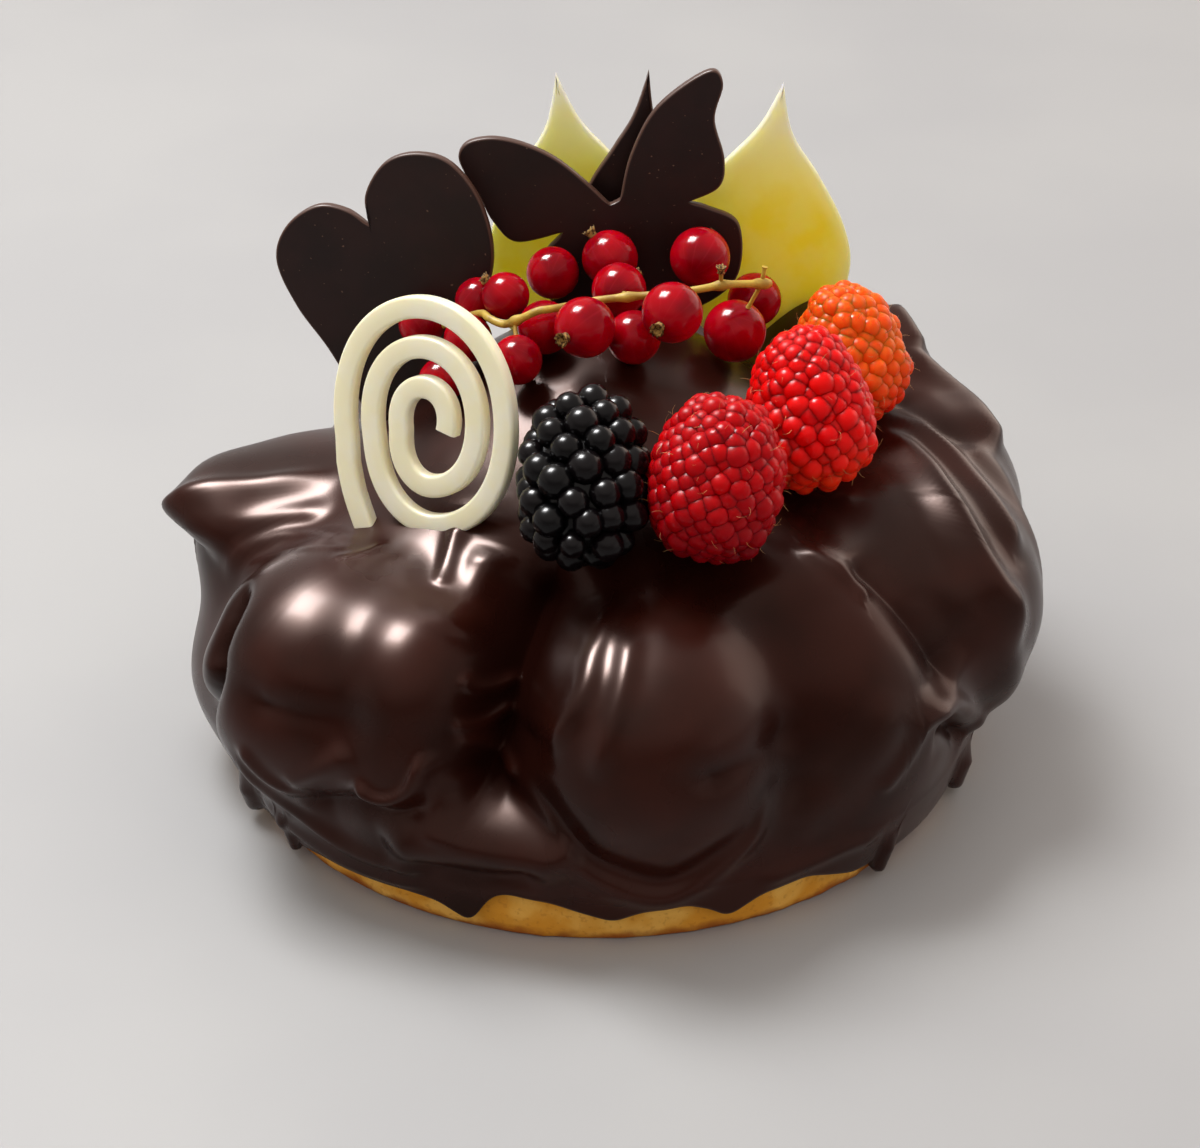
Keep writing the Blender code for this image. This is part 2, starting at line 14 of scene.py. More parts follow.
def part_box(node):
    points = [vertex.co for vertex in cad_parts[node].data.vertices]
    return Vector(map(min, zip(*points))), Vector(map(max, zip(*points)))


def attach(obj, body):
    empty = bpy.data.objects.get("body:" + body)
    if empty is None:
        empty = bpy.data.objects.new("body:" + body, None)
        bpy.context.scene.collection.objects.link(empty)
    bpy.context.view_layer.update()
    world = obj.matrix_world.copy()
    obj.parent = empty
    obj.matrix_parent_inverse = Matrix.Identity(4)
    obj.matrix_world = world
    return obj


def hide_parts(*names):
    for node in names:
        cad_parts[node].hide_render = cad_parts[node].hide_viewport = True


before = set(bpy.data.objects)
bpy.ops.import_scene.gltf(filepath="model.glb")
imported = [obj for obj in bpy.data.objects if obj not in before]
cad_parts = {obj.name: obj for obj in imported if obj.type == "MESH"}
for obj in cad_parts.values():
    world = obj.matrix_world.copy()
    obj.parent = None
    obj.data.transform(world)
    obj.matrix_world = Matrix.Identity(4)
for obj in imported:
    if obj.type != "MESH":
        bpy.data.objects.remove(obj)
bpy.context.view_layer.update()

MM = 0.001
GOLDEN_ANGLE = math.pi * (3.0 - math.sqrt(5.0))
# kinds of node that are used most
MIX, MAP, MATH, NOISE = "ShaderNodeMix", "ShaderNodeMapRange", "ShaderNodeMath", "ShaderNodeTexNoise"

# ---------------------------------------------------------------- room and camera
FLOOR_HALF = 2500
# how bright the room is along an axis: from and to which share of that way, and the strengths there
ROOM = (("Z", (0.05, 0.7), (0.14, 0.95)), ("Y", (0.2, 0.9), (0.14, 0.9)), ("X", (0.3, 1.0), (0.14, 1.0)),
        ("X", (-0.5, -1.0), (0.14, 0.8)), ("Z", (0.25, 0.0), (0.14, 0.55)))
# name: place and size in metres, power, tint, and whether it shows in the gloss only
LAMPS = {
    "window": ((-0.35, 0.265, 0.90), (0.5, 0.5), 8.0, "#FFFFFF", False),
    "window_glint": ((-0.348, 0.263, 0.89), (0.32, 0.36), 27.0, "#FFFFFF", True),
    "back_right_sheen": ((1.0, 0.85, 0.42), (1.3, 1.0), 8.0, "#FFE9DA", True),
}
LAMPS_FACE = (0.0, 0.0, 0.04)
CAMERA_PLACE = (0.0001, -0.5511, 0.3793)
CAMERA_TILT = 58               # degrees up from straight down
CAMERA_LENS, CAMERA_SENSOR = 100.05, 36.0

# ---------------------------------------------------------------- pastry base
BASE_RADIUS = 71.0
BASE_HEIGHT = 12.0
BASE_COLUMNS = 300
BASE_CRUMB = ((0.18, 7.0, 11), (0.09, 2.4, 12))   # how far the crust swells, over what length, with what seed
BASE_EDGE = 0.3                # it does so on the side only, this far from the top and the foot
BASE_UNDERSIDE = (0.3, 0.7, 0.9)   # rings of the underside and of the top, as shares of their outline
BASE_TOP = (0.9, 0.6, 0.3)
BASE_SIDE_STEPS = 4
# radius inside the base's own, and height, of the points of its side
BASE_SIDE = ((3.0, 0.0), (1.4, 0.1), (0.7, 0.8), (0.3, 2.2), (0.0, 5.0), (0.1, 8.0), (0.6, 10.4), (2.0, 12.0))

# ---------------------------------------------------------------- glaze
GLAZE_WALL = 71.3              # inside of the glaze, round the base
GLAZE_CEILING = 12.3
SIGHT_HEIGHT = 26.0            # each direction from this height on the axis meets the glaze once
EYE = np.array((0.0, 0.0, SIGHT_HEIGHT))
FIRST_REACH = 115.0
NEAREST_STEP, FARTHEST_STEP = -3.0, 12.0
STEP_SHARE = 0.9
STEPS = 34
COLUMNS = 528
RINGS = 210
FRONT_AZIMUTH = -90
CLOSER_IN_FRONT = 0.4          # how much closer the columns lie at the front than on average
CLOSER_BELOW = 0.85            # below one, the rings lie closer towards the hem
FILLET = 4.0                   # how far the glaze rounds off the corner between two puffs

# name: azimuth, distance from the axis, height of the middle, half sizes (outwards, round the ring, up)
PUFFS = {
    "heap": (0, 0, 18, (69, 69, 46)),
    "mound": (90, 2, 30, (55, 55, 43)),
    "middle": (90, 10, 51, (35, 35, 31)),
    "front": (-81, 56, 36, (25, 25, 23)),
    "front_left": (-143, 60, 36, (26, 25, 23)),
    "front_left_lobe": (-122, 60, 35, (18, 15, 22)),
    "front_right": (-42, 47, 32, (32, 29, 30)),
    "right": (-12, 59, 38, (27, 25, 24)),
    "right_back": (12, 60, 42, (24, 23, 24)),
    "back_right": (38, 60, 46, (21, 23, 23)),
    "back_right_crest": (37, 61.5, 61.5, (13, 16, 14)),
    "back": (75, 57, 40, (25, 27, 24)),
    "back_left": (124, 54, 34, (24, 27, 20)),
    "left": (170, 57, 38, (22, 24, 18)),
    "left_lip": (176, 74, 49, (8, 11, 5)),
    "left_low": (-172, 57, 20, (22, 22, 17)),
}
# the ring where the glaze pooled: its radius, its height, its half width and half height
SKIRT = (60.5, 15.0, 10.0, 15.0)
# the coat on the base: its radius, and the height it reaches
BAND = (69.0, 8.0)

# How the glaze set as it ran: rise (below zero a crease), width to the left and to the right of the line seen
# along it, then the azimuth and elevation of the points that the line runs through.
FOLDS = {
    "rope": (4.4, 3.2, 5, ((5, 40), (1, 37.5), (-2, 35.2), (-7.4, 32.7), (-13.8, 30.3), (-18.7, 27),
                           (-22, 23), (-23.2, 18.8), (-22.7, 15.3), (-22, 12), (-21, 7.5))),
    "rope_shoulder": (2.0, 8, 7, ((0, 41), (-10.5, 37), (-19, 33.5), (-25, 29), (-29, 24), (-31.5, 18))),
    "band": (2.4, 2.5, 4, ((9, 36), (4, 33), (-2, 29), (-8, 25), (-12, 22), (-16, 17))),
    "outer_line": (1.2, 3, 4, ((5, 30), (2, 26), (1, 22), (-1, 18), (-5, 13), (-8, 6))),
    "shoulder": (3, 4, 5, ((22, 36), (21, 32), (18, 27), (10, 25), (6, 21))),
    "shoulder_groove": (-2.2, 4, 4, ((15, 34.5), (6, 31), (3, 25))),
    "crest": (2, 2.5, 4, ((34, 35), (29, 34), (24, 32.5))),
    "tongue": (2.2, 4, 5, ((-27, 24), (-27.5, 20), (-26, 14), (-23, 6), (-19.5, -1), (-17, -7))),
    "ledge": (2.8, 2, 3, ((-45, 6), (-41.5, 8), (-34, 5.4), (-27, -1), (-20, -6.5))),
    "pocket": (-4, 2.5, 3.5, ((-40, 4), (-33, 1.5), (-24, -6))),
    "valley": (-3.6, 6, 6, ((-39, 32), (-37.6, 26), (-36.3, 19.4), (-34.7, 13), (-33, 8))),
    "brow": (1.5, 2, 2.5, ((-44, 37), (-43.1, 33), (-42.3, 30.9), (-41.3, 28), (-41, 24))),
    "under_berry": (1.0, 2.5, 2.5, ((-29, 47), (-24.5, 41), (-20, 35.5))),
    "lower_line": (1.0, 2, 2, ((-41, 8.5), (-44, 5), (-46, 3), (-50, -1))),
    "dark_valley": (-2.2, 9, 11, ((-55, 34), (-58, 24), (-60, 15), (-61.5, 6), (-62, -2))),
    "right_rim": (1.0, 4, 4.5, ((-45, 14), (-50, 7.5), (-55, 3.6), (-60, -2), (-64, -6))),
    "front_foot": (-1.5, 4, 4, ((-103, 9), (-99.3, 7), (-96, 3), (-92, -2), (-87, -5), (-80, -7.5), (-74, -3),
                                (-70, 3))),
    "front_ledge": (1.7, 3.0, 1.5, ((-101, 5), (-97, 2), (-93, -4), (-88, -7.5), (-81, -10), (-74.5, -6.5),
                                    (-69, -1), (-66, 6))),
    "front_streak": (2.4, 3.2, 3.2, ((-82, 37), (-87.5, 33.3), (-90.1, 30), (-91.9, 26.6), (-93, 22),
                                     (-96.5, 16), (-98, 10))),
    "front_streak_right": (1.4, 2.2, 2.4, ((-84.5, 31), (-85.8, 26.4), (-87.2, 22), (-89.5, 16), (-91, 10))),
    "junction": (-9, 6.5, 8.5, ((-99, 47), (-102.5, 40), (-104.5, 33), (-105, 27), (-105.4, 21), (-105.6, 16),
                                (-106, 11), (-107.5, 6), (-109, 1), (-110, -3))),
    "zigzag_top": (1.6, 1.4, 1.8, ((-113, 21.5), (-110.5, 19), (-107.5, 19), (-104.5, 21))),
    "zigzag_mid": (1.8, 1.4, 1.8, ((-104.8, 16.6), (-108.5, 13.6), (-113, 13.5))),
    "zigzag_foot": (1.4, 1.8, 2, ((-112.7, 11.9), (-109.2, 10.9), (-106, 8), (-102.5, 5))),
    "lens": (4.0, 5, 5, ((-122, -5.5), (-116, -4), (-110, -3), (-104, -3), (-97, -3.5), (-92, -4.5))),
    "lens_apex": (1.0, 4.0, 4.5, ((-111, 7), (-112, 2), (-112.5, -3))),
    "lens_foot": (-1.8, 2.6, 2.6, ((-118, -7.5), (-112, -9), (-105, -9), (-97, -6))),
    "lens_crease": (-1.6, 2.4, 2.4, ((-106.6, 4), (-100.3, 1.5), (-94, -1.5))),
    "side_crease": (-5.5, 2.5, 3, ((-154.5, 21), (-151, 18), (-149, 13), (-148, 8), (-158, -7))),
    "lobe_crease": (-1.3, 6, 6, ((-138, 34), (-133, 26), (-128, 18), (-125, 10), (-124, 4))),
    "lobe_foot": (2.6, 2.6, 1.3, ((-124, 5.5), (-121, 3.1), (-118.4, 3.2), (-116, 5.5), (-114.5, 11))),
    "notch": (1.4, 2.2, 2.4, ((-134, 0), (-129, 4), (-124, 9))),
    "under_lobes": (-3, 3.5, 3.5, ((-134, -4), (-125, 0), (-117.5, 0.5), (-112.5, 3))),
    "rim_left": (1.6, 1.8, 2, ((-144, 3), (-140, -1), (-136.5, -6), (-128, -9.5), (-118, -9), (-111, -8.5))),
    "rim_left_upper": (1.2, 1.6, 1.6, ((-140, 5), (-136, 0), (-131, -1))),
    "hem_roll_left": (1.0, 1.5, 1.8, ((-152, -13), (-143, -13), (-132, -13.5), (-122, -13), (-113, -12))),
    "hem_roll_right": (0.8, 1.8, 2.2, ((-46, -10), (-52, -9), (-60, -10), (-68, -11))),
    "left_lip": (2.4, 3.2, 2.6, ((164, 12), (172, 13.5), (178.5, 15.5), (180, 22), (179.5, 27), (178, 33))),
    "left_groove": (-2.6, 3.2, 3.2, ((172, 8), (-179, 12), (-176, 19), (-175.5, 25), (-175, 31))),
    "left_drape": (1.2, 2, 2.5, ((-173, 13.5), (-173.5, 18), (-173, 24), (-170, 30))),
    "pull_1": (0.9, 1.4, 1.4, ((-172.2, 10.8), (-171, 16), (-170, 20), (-168, 23.5), (-158.5, 29.5),
                               (-146, 32.8))),
    "pull_2": (0.8, 1.3, 1.3, ((-168.8, 13), (-165, 19.6), (-152.6, 28.2), (-146.6, 31.7))),
    "pull_3": (0.7, 1.2, 1.2, ((-146, 29), (-144, 32), (-145, 35))),
    "spiral_foot": (1.2, 2, 2, ((-134, 46), (-128.6, 37.3), (-125, 32))),
    "spiral_foot_2": (1.9, 4.4, 3.6, ((-120, 44), (-119.2, 36), (-117.5, 31), (-116, 26))),
}
FOLD_STEPS = 6                 # pieces that each stretch of a fold's line is drawn with
FOLD_ENDS = 5.0                # a fold fades out over one part in this many of its length at each end
FOLD_REACH = 4.4               # beyond this many widths a fold is too low to count
DEEPEST = 6.5                  # a crease is as dull, and its colour as dark with painted shade, as it gets where it is this deep
CREST_CLEARS = 4.0             # a fold across it makes it count as less deep, by this many times its own rise
ROUND_POWER = 2.0              # how a fold falls off to its sides,
SHARP_POWER = 1.2              # and a crease deeper than SHARP_FROM: below two its middle is sharper
SHARP_FROM = 2.5

# azimuth and height of the glaze's hem
HEM = ((-180, 5), (-141, 3.5), (-130, 6.5), (-120, 6.8), (-114, 6), (-109, 2), (-106, 9.5), (-103, 11),
       (-97, 10.5), (-88, 6), (-83, 9), (-78, 9.4), (-74, 7), (-71, 4), (-69.5, 5.5), (-66, 8), (-59, 9),
       (-50, 4.5), (-40, 5), (-30, 4.5), (-5, 6), (20, 4), (45, 7.5), (70, 4.5), (95, 8), (120, 5), (145, 7),
       (165, 4.5))
HEM_SPREAD = (-1.2, -0.8, -0.4, 0.0, 0.4, 0.8, 1.2)   # degrees over which the hem's corners are rounded
# the drips that ran further down: azimuth, height of the tip, half width
DRIPS = ((-44, 1.0, 1.8), (-18.5, 0.8, 3.0), (-142.5, 1.2, 1.4), (-154, 2.2, 3.0), (60, 1.0, 2.2),
         (118, 1.5, 2.6), (162, 1.0, 2.0))
DRIP_SPREAD = 1.3              # a drip stands out over this many half widths,
DRIP_BULGE = 0.8               # by this share of its half width,
DRIP_FADE = 5.0                # growing over this height below the base's top
HEM_LIP = 1.0                  # how deep the hem is rounded under, in so many rows
LIP_ROWS = 5
HEM_REACH = 73.3               # where the hem is looked for first, and how often it is looked for
HEM_WALKS = 3
WAVES = ((0.08, 28.0), (0.012, 11.0))   # height and length of the glaze's own unevenness
WAVE_COUNT = 7                 # sine waves that an unevenness is made of,
WAVE_SPREAD = (0.75, 1.35)     # and their lengths as shares of its own

# ---------------------------------------------------------------- plaques
PLAQUE = 2.2                   # thickness
PLAQUE_EDGE = 0.45             # radius of its edges
FLAT_FROM = 1.4                # a face is flat from this many radii inwards,
RIM_FROM = 0.9                 # and its rim lies within this many
HEART = ((-3.5, 31), (-4.5, 37), (-1, 43.5), (5, 46), (12, 44.5), (18, 37), (20.5, 26), (17.5, 15), (10, 4),
         (-2, -11), (-11, 4.5), (-18, 14), (-22, 23), (-20, 30), (-14, 34.5), (-8, 34))
BUTTERFLY = ((0, 19), (-4, 23), (-10, 28), (-16, 31), (-22, 32.4), (-27, 31.6), (-29, 29), (-28, 25.5),
             (-25.3, 21), (-22.5, 15.5), (-18, 11.5), (-9, 13.5), (-14, 7), (-12, 0), (-4, -4), (2, -6.5),
             (8, -4.5), (19, -1), (25, 5), (25, 15), (19, 18.5), (15, 19.5), (21, 22.5), (22, 28), (20, 36),
             (21.5, 43), (18.5, 45.5), (9, 38.5), (4, 29), (2, 20))
FLAME = ((1.5, 47), (3.5, 37), (9, 28), (14, 18), (15.5, 9), (12, -2), (4, -8), (-4, -9), (-12, -5), (-18, 4),
         (-19, 15), (-16.5, 24), (-9, 32), (-3, 38.5))
OUTLINE_STEPS = 10
TIP_INSET = 0.3                # near a sharp point an edge is rounded by this share of the way to it at most,
LEAST_INSET = 0.06             # and at the point itself by this share of its radius
PLAQUE_CREASE = 40             # degrees at which a plaque's surface has a crease
FACE_SHARES = (0.1, 0.25, 0.4, 0.55, 0.7, 0.82, 0.92)   # rings on a face, as shares of its outline
# name: outline, its corners, its middle, width and height factors, foot, turn, lean, slot
PLAQUES = {
    "dark_heart": (HEART, (0, 9), (0, 17), (1, 1), (-41.2, 22, 66), -8, 10, "dark_chocolate"),
    "dark_butterfly": (BUTTERFLY, (0, 11, 21, 29), None, (1, 1), (2, 30, 80), 0, 8, "dark_chocolate"),
    "dark_flame": (FLAME, (0,), (-2, 12), (0.65, 1.02), (8.5, 37, 75), 0, 5, "dark_chocolate"),
    "yellow_flame_left": (FLAME, (0,), (-2, 12), (-1, 1.06), (-7, 45, 69), 0, 5, "yellow_chocolate"),
    "yellow_flame_right": (FLAME, (0,), (-2, 12), (1, 1), (34, 40, 72), 0, 5, "yellow_chocolate"),
}

# ---------------------------------------------------------------- piped spiral
SPIRAL_FOOT = (-36.5, -22.5, 58.0)
SPIRAL_TURN = -30
SPIRAL_LEAN = 15
SPIRAL_MIDDLE = (2.6, 22.5)
SPIRAL_RADIUS = 20.0
SPIRAL_SLOPE = 2.9             # how far a turn closes in evenly
SPIRAL_STEP = 3.8              # and how far it steps in over its last part
SPIRAL_STEP_START = 0.78
SPIRAL_TURNS = 2.6
SPIRAL_START = 203             # direction of the first turn's start, where the tail joins it
SPIRAL_TALL = 100              # direction in which the oval is longest, and by what share
SPIRAL_OVAL = 0.1
SPIRAL_TAIL = ((-6.3, -3.5), (-11.0, 4.6), (-13.3, 10.5))
SPIRAL_TAIL_STEPS = 12
SPIRAL_STATIONS = 420
BAND_WIDTH = 4.2
BAND_DEPTH = 3.0
BAND_EDGE = 0.7                # radius of its edges, in so many steps
BAND_EDGE_STEPS = 4
BAND_CREASE = 50               # degrees at which its surface has a crease

# ---------------------------------------------------------------- fruit
# the way that each currant's dried flower end faces
FLOWER_WAYS = {
    1: (0.5, 0.8, 0.1), 2: (-0.2, 0.5, -0.8), 3: (0.2, 0.5, -0.8), 4: (0.3, 0.9, 0.1), 5: (-0.6, 0.3, 0.74),
    6: (0.3, 0.9, 0.2), 7: (0.1, 0.9, -0.3), 8: (-0.75, 0.2, 0.6), 9: (0.3, 0.4, -0.8),
    10: (-0.61, -0.79, 0.05), 11: (-0.41, -0.91, -0.04), 12: (0.3, 0.5, -0.8), 13: (0.32, -0.17, 0.93),
    14: (-0.3, 0.9, 0.2), 15: (-0.2, 0.6, -0.7), 16: (-0.2, 0.6, -0.7),
}
FLOWER_SIDES = 20
FLOWER_FRAY = (1.0, 0.55, 0.85, 0.4, 1.1, 0.6, 0.8, 0.5, 1.0, 0.45)
FRAY_OUT = 0.3                 # how far the fraying leans out, as a share of how far it goes up
FLOWER_PIT, FLOWER_ROOT = 0.99, 0.9
# radius, height and share of fraying of the flower's rings, on a berry of radius one
FLOWER_PROFILE = ((0.19, 0.93, 0), (0.15, 1.04, 0), (0.19, 1.12, 0.05), (0.22, 1.16, 0.14),
                  (0.14, 1.13, 0.10), (0.08, 1.02, 0))
VEINS = 12
CURRANT_RADIUS = 4.95          # of a middling currant, and how wide the shadows of its seeds are
SEED_SHADOW = 5.5
STALK = ((-30, 13.8, 82.4), (-27.5, 13.5, 83.3), (-24.3, 11.8, 85.4), (-22, 8.8, 87.4), (-20.6, 5.2, 88.2),
         (-17.7, 2.8, 88.3), (-14.4, 0.3, 90.9), (-11.4, -0.5, 92.8), (-8.6, 0.2, 92.9), (-3.6, 2.8, 92.6),
         (0.6, 3.5, 93.1), (8.1, 4.5, 93.4), (13.1, 4.5, 93.8), (18.2, 5, 94.4), (23.5, 7, 94.4),
         (28.3, 9.5, 93.3), (32.2, 12, 92.1))
STALK_STEPS, TWIG_STEPS = 8, 6
STALK_RADIUS = 0.75
KNOT, KNOT_LENGTH = 0.5, 1.2   # how much thicker the stem is at a twig, and over what length
TWIG_RADIUS = 0.4
TWIG_FLARE = 0.5               # how much thicker a twig is at its ends,
TWIG_FLARES = (0.2, 0.12)      # and over what shares of its length
TWIG_BEND = 0.06
TWIG_SINKS_IN = 0.4
NEAREST_TWIG, FARTHEST_TWIG = 2.6, 8.0   # a currant whose skin is this far from the stalk has a twig
# twigs without a berry: where they leave the stem and where they end
BROKEN_TWIG = ((22.8, 6.7, 94.4), (22.7, 6.5, 97.4))
END_TWIG = ((30.5, 11.0, 92.6), (31.1, 11.3, 96.0))
BROKEN_TIP = 4.0               # radius of the berry that the flower on the broken twig would fit

# name: middle, half width, half length, lean (to +Y, to +X), drupelets, their radius and scatter, taper,
# share of drupelets with a hair, slot
DRUPE_BERRIES = {
    "bramble": ((-2.9, -35.6, 77.1), 12.3, 17.2, (54, 4), 64, 3.2, 0.6, 0.04, 0.03, "bramble_skin"),
    "raspberry_1": ((20.9, -37.0, 78.2), 12.5, 15.2, (20, 6), 265, 2.5, 0.5, 0.10, 0.35, "raspberry_skin"),
    "raspberry_2": ((38.4, -14.3, 79.9), 12.8, 15.2, (20, -6), 255, 2.5, 0.5, 0.24, 0.35, "raspberry_skin"),
    "raspberry_3": ((47.6, 9.5, 78.6), 11.4, 13.4, (16, -14), 200, 2.4, 0.5, 0.20, 0.35,
                    "orange_raspberry_skin"),
}
BERRY_FULLNESS = 0.75          # below one the berry is fuller than an ellipsoid
DRUPELETS_STAND_OUT = 0.8      # share of a drupelet's radius that stands out of the berry's middle shape
DRUPELET_SPREAD = (0.87, 1.13)
POLE_DRUPELET = 0.78           # size of a drupelet at the top and foot, as a share of one half way up
FACING_LEVEL = 0.75            # below one the drupelets face more sideways
CORE_SHARE = 0.99
HAIR_RADIUS, HAIR_LENGTH, HAIR_BEND = 0.045, 2.4, 1.0
HAIR_DROOP, HAIR_TAPER = 0.2, 0.6
HAIR_STATIONS = (0.0, 0.35, 0.7, 1.0)
HAIR_SIDES = 4
HAIR_SPREAD = (0.6, 1.2)
HAIR_SWAY = 0.9                # radians


# ---------------------------------------------------------------- helpers
def colour(code):
    """The linear value of an sRGB hex colour."""
    channels = [int(code[i:i + 2], 16) / 255 for i in (1, 3, 5)]
    return (*(c / 12.92 if c <= 0.04045 else ((c + 0.055) / 1.055) ** 2.4 for c in channels), 1.0)


def per(size):
    """The scale of a pattern whose features are that many millimetres across."""
    return 1.0 / (size * MM)


def fill(tree, node, inputs):
    """Fill sockets, by name or number, with values or links. A text that starts with # is a colour."""
    for label, value in inputs.items() if isinstance(inputs, dict) else enumerate(inputs):
        socket = node.inputs[label]
        if isinstance(label, str):
            socket = next(s for s in node.inputs if s.enabled and s.name == label)
        for source in value if isinstance(value, list) else [value]:
            if isinstance(source, bpy.types.NodeSocket):
                tree.links.new(source, socket)
            else:
                socket.default_value = colour(source) if str(source).startswith("#") else source


def add(tree, kind, inputs=(), out=None, **settings):
    """Add a node, set it up and fill its sockets; give back the output it is used for."""
    node = tree.nodes.new(kind)
    for name, value in settings.items():
        setattr(node, name, value)
    fill(tree, node, inputs)
    outputs = [s for s in node.outputs if s.enabled and out in (None, s.name)]
    return outputs[0] if outputs else node


def put_in_scene(name, data):
    thing = bpy.data.objects.new(name, data)
    bpy.context.scene.collection.objects.link(thing)
    return thing


def new_piece(name, points, faces, material, edges=()):
    """A piece whose mesh holds its place. Points are in millimetres."""
    mesh = bpy.data.meshes.new(name)
    mesh.from_pydata((np.asarray(points, float) * MM).tolist(), list(edges), faces)
    if material:
        mesh.materials.append(material)
    mesh.shade_smooth()
    mesh.update()
    return put_in_scene(name, mesh)


def mark(piece, name, values):
    """Store a value on each point."""
    piece.data.attributes.new(name, "FLOAT", "POINT").data.foreach_set("value", values)


def dress(piece, slot, *nodes):
    """The piece moves with the cake and stands for those nodes. The slot, the finish's name, is not used."""
    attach(piece, "root")
    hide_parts(*nodes)


def ring_faces(columns, rings):
    """Quads between rings of points that follow one another, each closed on itself."""
    faces = []
    for a in range(0, (rings - 1) * columns, columns):
        b = a + columns
        for j in range(columns):
            k = (j + 1) % columns
            faces.append((a + j, b + j, b + k, a + k))
    return faces


def closed_rings(first_pole, rings, last_pole):
    """Points and faces of a pile of rings with a point to close each end. Seen from outside the rings run
    round anticlockwise about the way from the last pole to the first."""
    rings = np.asarray(rings, float)
    count, columns, _ = rings.shape
    points = np.vstack((rings.reshape(-1, 3), first_pole, last_pole))
    first, last = count * columns, count * columns + 1
    below = (count - 1) * columns
    faces = ring_faces(columns, count)
    for j in range(columns):
        k = (j + 1) % columns
        faces.append((first, j, k))
        faces.append((last, below + k, below + j))
    return points, faces


def smooth_line(points, steps, closed=False, corners=()):
    """A Catmull-Rom curve through the points, that turns sharply at the corners and at open ends."""
    points = np.array(points, float)
    count = len(points)
    curve = []
    for i in range(count if closed else count - 1):
        a, b = points[i], points[(i + 1) % count]
        before = a if (i in corners or (i == 0 and not closed)) else points[i - 1]
        last = i + 2 > count - 1 and not closed
        after = b if ((i + 1) % count in corners or last) else points[(i + 2) % count]
        for t in np.arange(steps) / steps:
            curve.append(0.5 * (2 * a + (b - before) * t + (2 * before - 5 * a + 4 * b - after) * t ** 2
                                + (3 * a - before - 3 * b + after) * t ** 3))
    if not closed:
        curve.append(points[-1])
    return np.array(curve)


def waves(points, length, seed):
    """A soft unevenness from -1 to 1: a few sine waves of about that length, in directions of their own."""
    draws = np.random.default_rng(seed)
    total = np.zeros(len(points))
    for _ in range(WAVE_COUNT):
        way = draws.normal(size=3)
        way *= math.tau / (length * draws.uniform(*WAVE_SPREAD) * np.linalg.norm(way))
        total += np.sin(points @ way + draws.uniform(0, math.tau))
    return total / math.sqrt(WAVE_COUNT)


# ---------------------------------------------------------------- the glazed surface
def directions(azimuth, elevation):
    a, e = np.radians(azimuth), np.radians(elevation)
    return np.stack((np.cos(e) * np.cos(a), np.cos(e) * np.sin(a), np.sin(e)), -1)


def level_ways(azimuth):
    return directions(azimuth, 0 * azimuth)


def ellipsoid_distance(points, azimuth, radius, height, halves):
    """Distance from each point to one puff, below zero inside it."""
    out, along = level_ways(azimuth)[:2], level_ways(azimuth + 90)[:2]
    offset = points - (radius * out[0], radius * out[1], height)
    local = np.stack((offset[:, :2] @ out, offset[:, :2] @ along, offset[:, 2]), 1) / halves
    share = np.linalg.norm(local, axis=1)
    slope = np.linalg.norm(local / halves, axis=1)
    return share * (share - 1.0) / np.maximum(slope, 1e-9)


def glaze_distance(points):
    """Distance to the glaze: the puffs, the pooled ring and the coat on the base, melted together."""
    reach = np.hypot(points[:, 0], points[:, 1])
    parts = [ellipsoid_distance(points, *puff) for puff in PUFFS.values()]
    ring, height, wide, tall = SKIRT
    parts.append((np.hypot((reach - ring) / wide, (points[:, 2] - height) / tall) - 1.0) * min(wide, tall))
    parts.append(np.maximum(reach - BAND[0], points[:, 2] - BAND[1]))
    nearest = np.min(parts, 0)
    return nearest - FILLET * np.log(np.exp((nearest - parts) / FILLET).sum(0))


def plain_surface(ways):
    """Walk in from outside along each direction until the glaze is met."""
    distance = np.full(len(ways), FIRST_REACH)
    for _ in range(STEPS):
        left = glaze_distance(EYE + distance[:, None] * ways)
        distance -= np.clip(left, NEAREST_STEP, FARTHEST_STEP) * STEP_SHARE
    return EYE + distance[:, None] * ways


def fold_push(points, rise, left, right, path):
    """How far one fold lifts each point, or a crease sinks it."""
    line = plain_surface(directions(*smooth_line(path, FOLD_STEPS).T))
    reach = FOLD_REACH * max(left, right)
    near = np.all((points > line.min(0) - reach) & (points < line.max(0) + reach), axis=1)
    found = points[near]
    best = np.full(len(found), 1e9)
    where = np.zeros(len(found))
    side = np.zeros(len(found))
    lengths = np.linalg.norm(np.diff(line, axis=0), axis=1)
    starts = np.concatenate(((0.0,), np.cumsum(lengths)))
    for a, b, length, start in zip(line[:-1], line[1:], lengths, starts):
        t = np.clip((found - a) @ (b - a) / length ** 2, 0.0, 1.0)
        off = found - a - t[:, None] * (b - a)
        away = np.linalg.norm(off, axis=1)
        closer = away < best
        where = np.where(closer, (start + t * length) / starts[-1], where)
        side = np.where(closer, off @ np.cross(b - a, a - EYE), side)
        best = np.minimum(best, away)
    fade = np.clip(np.minimum(where, 1.0 - where) * FOLD_ENDS, 0.0, 1.0)
    power = SHARP_POWER if rise < -SHARP_FROM else ROUND_POWER
    width = np.where(side > 0, left, right)
    push = np.zeros(len(points))
    push[near] = rise * fade ** 2 * (3.0 - 2.0 * fade) * np.exp(-(best / width) ** power)
    return push


def glaze_surface(ways):
    """The glaze in each direction, with its folds pushed out, its creases pushed in and its own unevenness,
    and how deep in a crease it is there, from 0 to 1."""
    points = plain_surface(ways)
    pushes = [fold_push(points, *fold) for fold in FOLDS.values()]
    deep = -sum(np.minimum(push, 0.0) + CREST_CLEARS * np.maximum(push, 0.0) for push in pushes)
    push = sum(pushes)
    for seed, (height, length) in enumerate(WAVES):
        push += height * waves(points, length, seed)
    return points + push[:, None] * ways, np.clip(deep / DEEPEST, 0.0, 1.0)


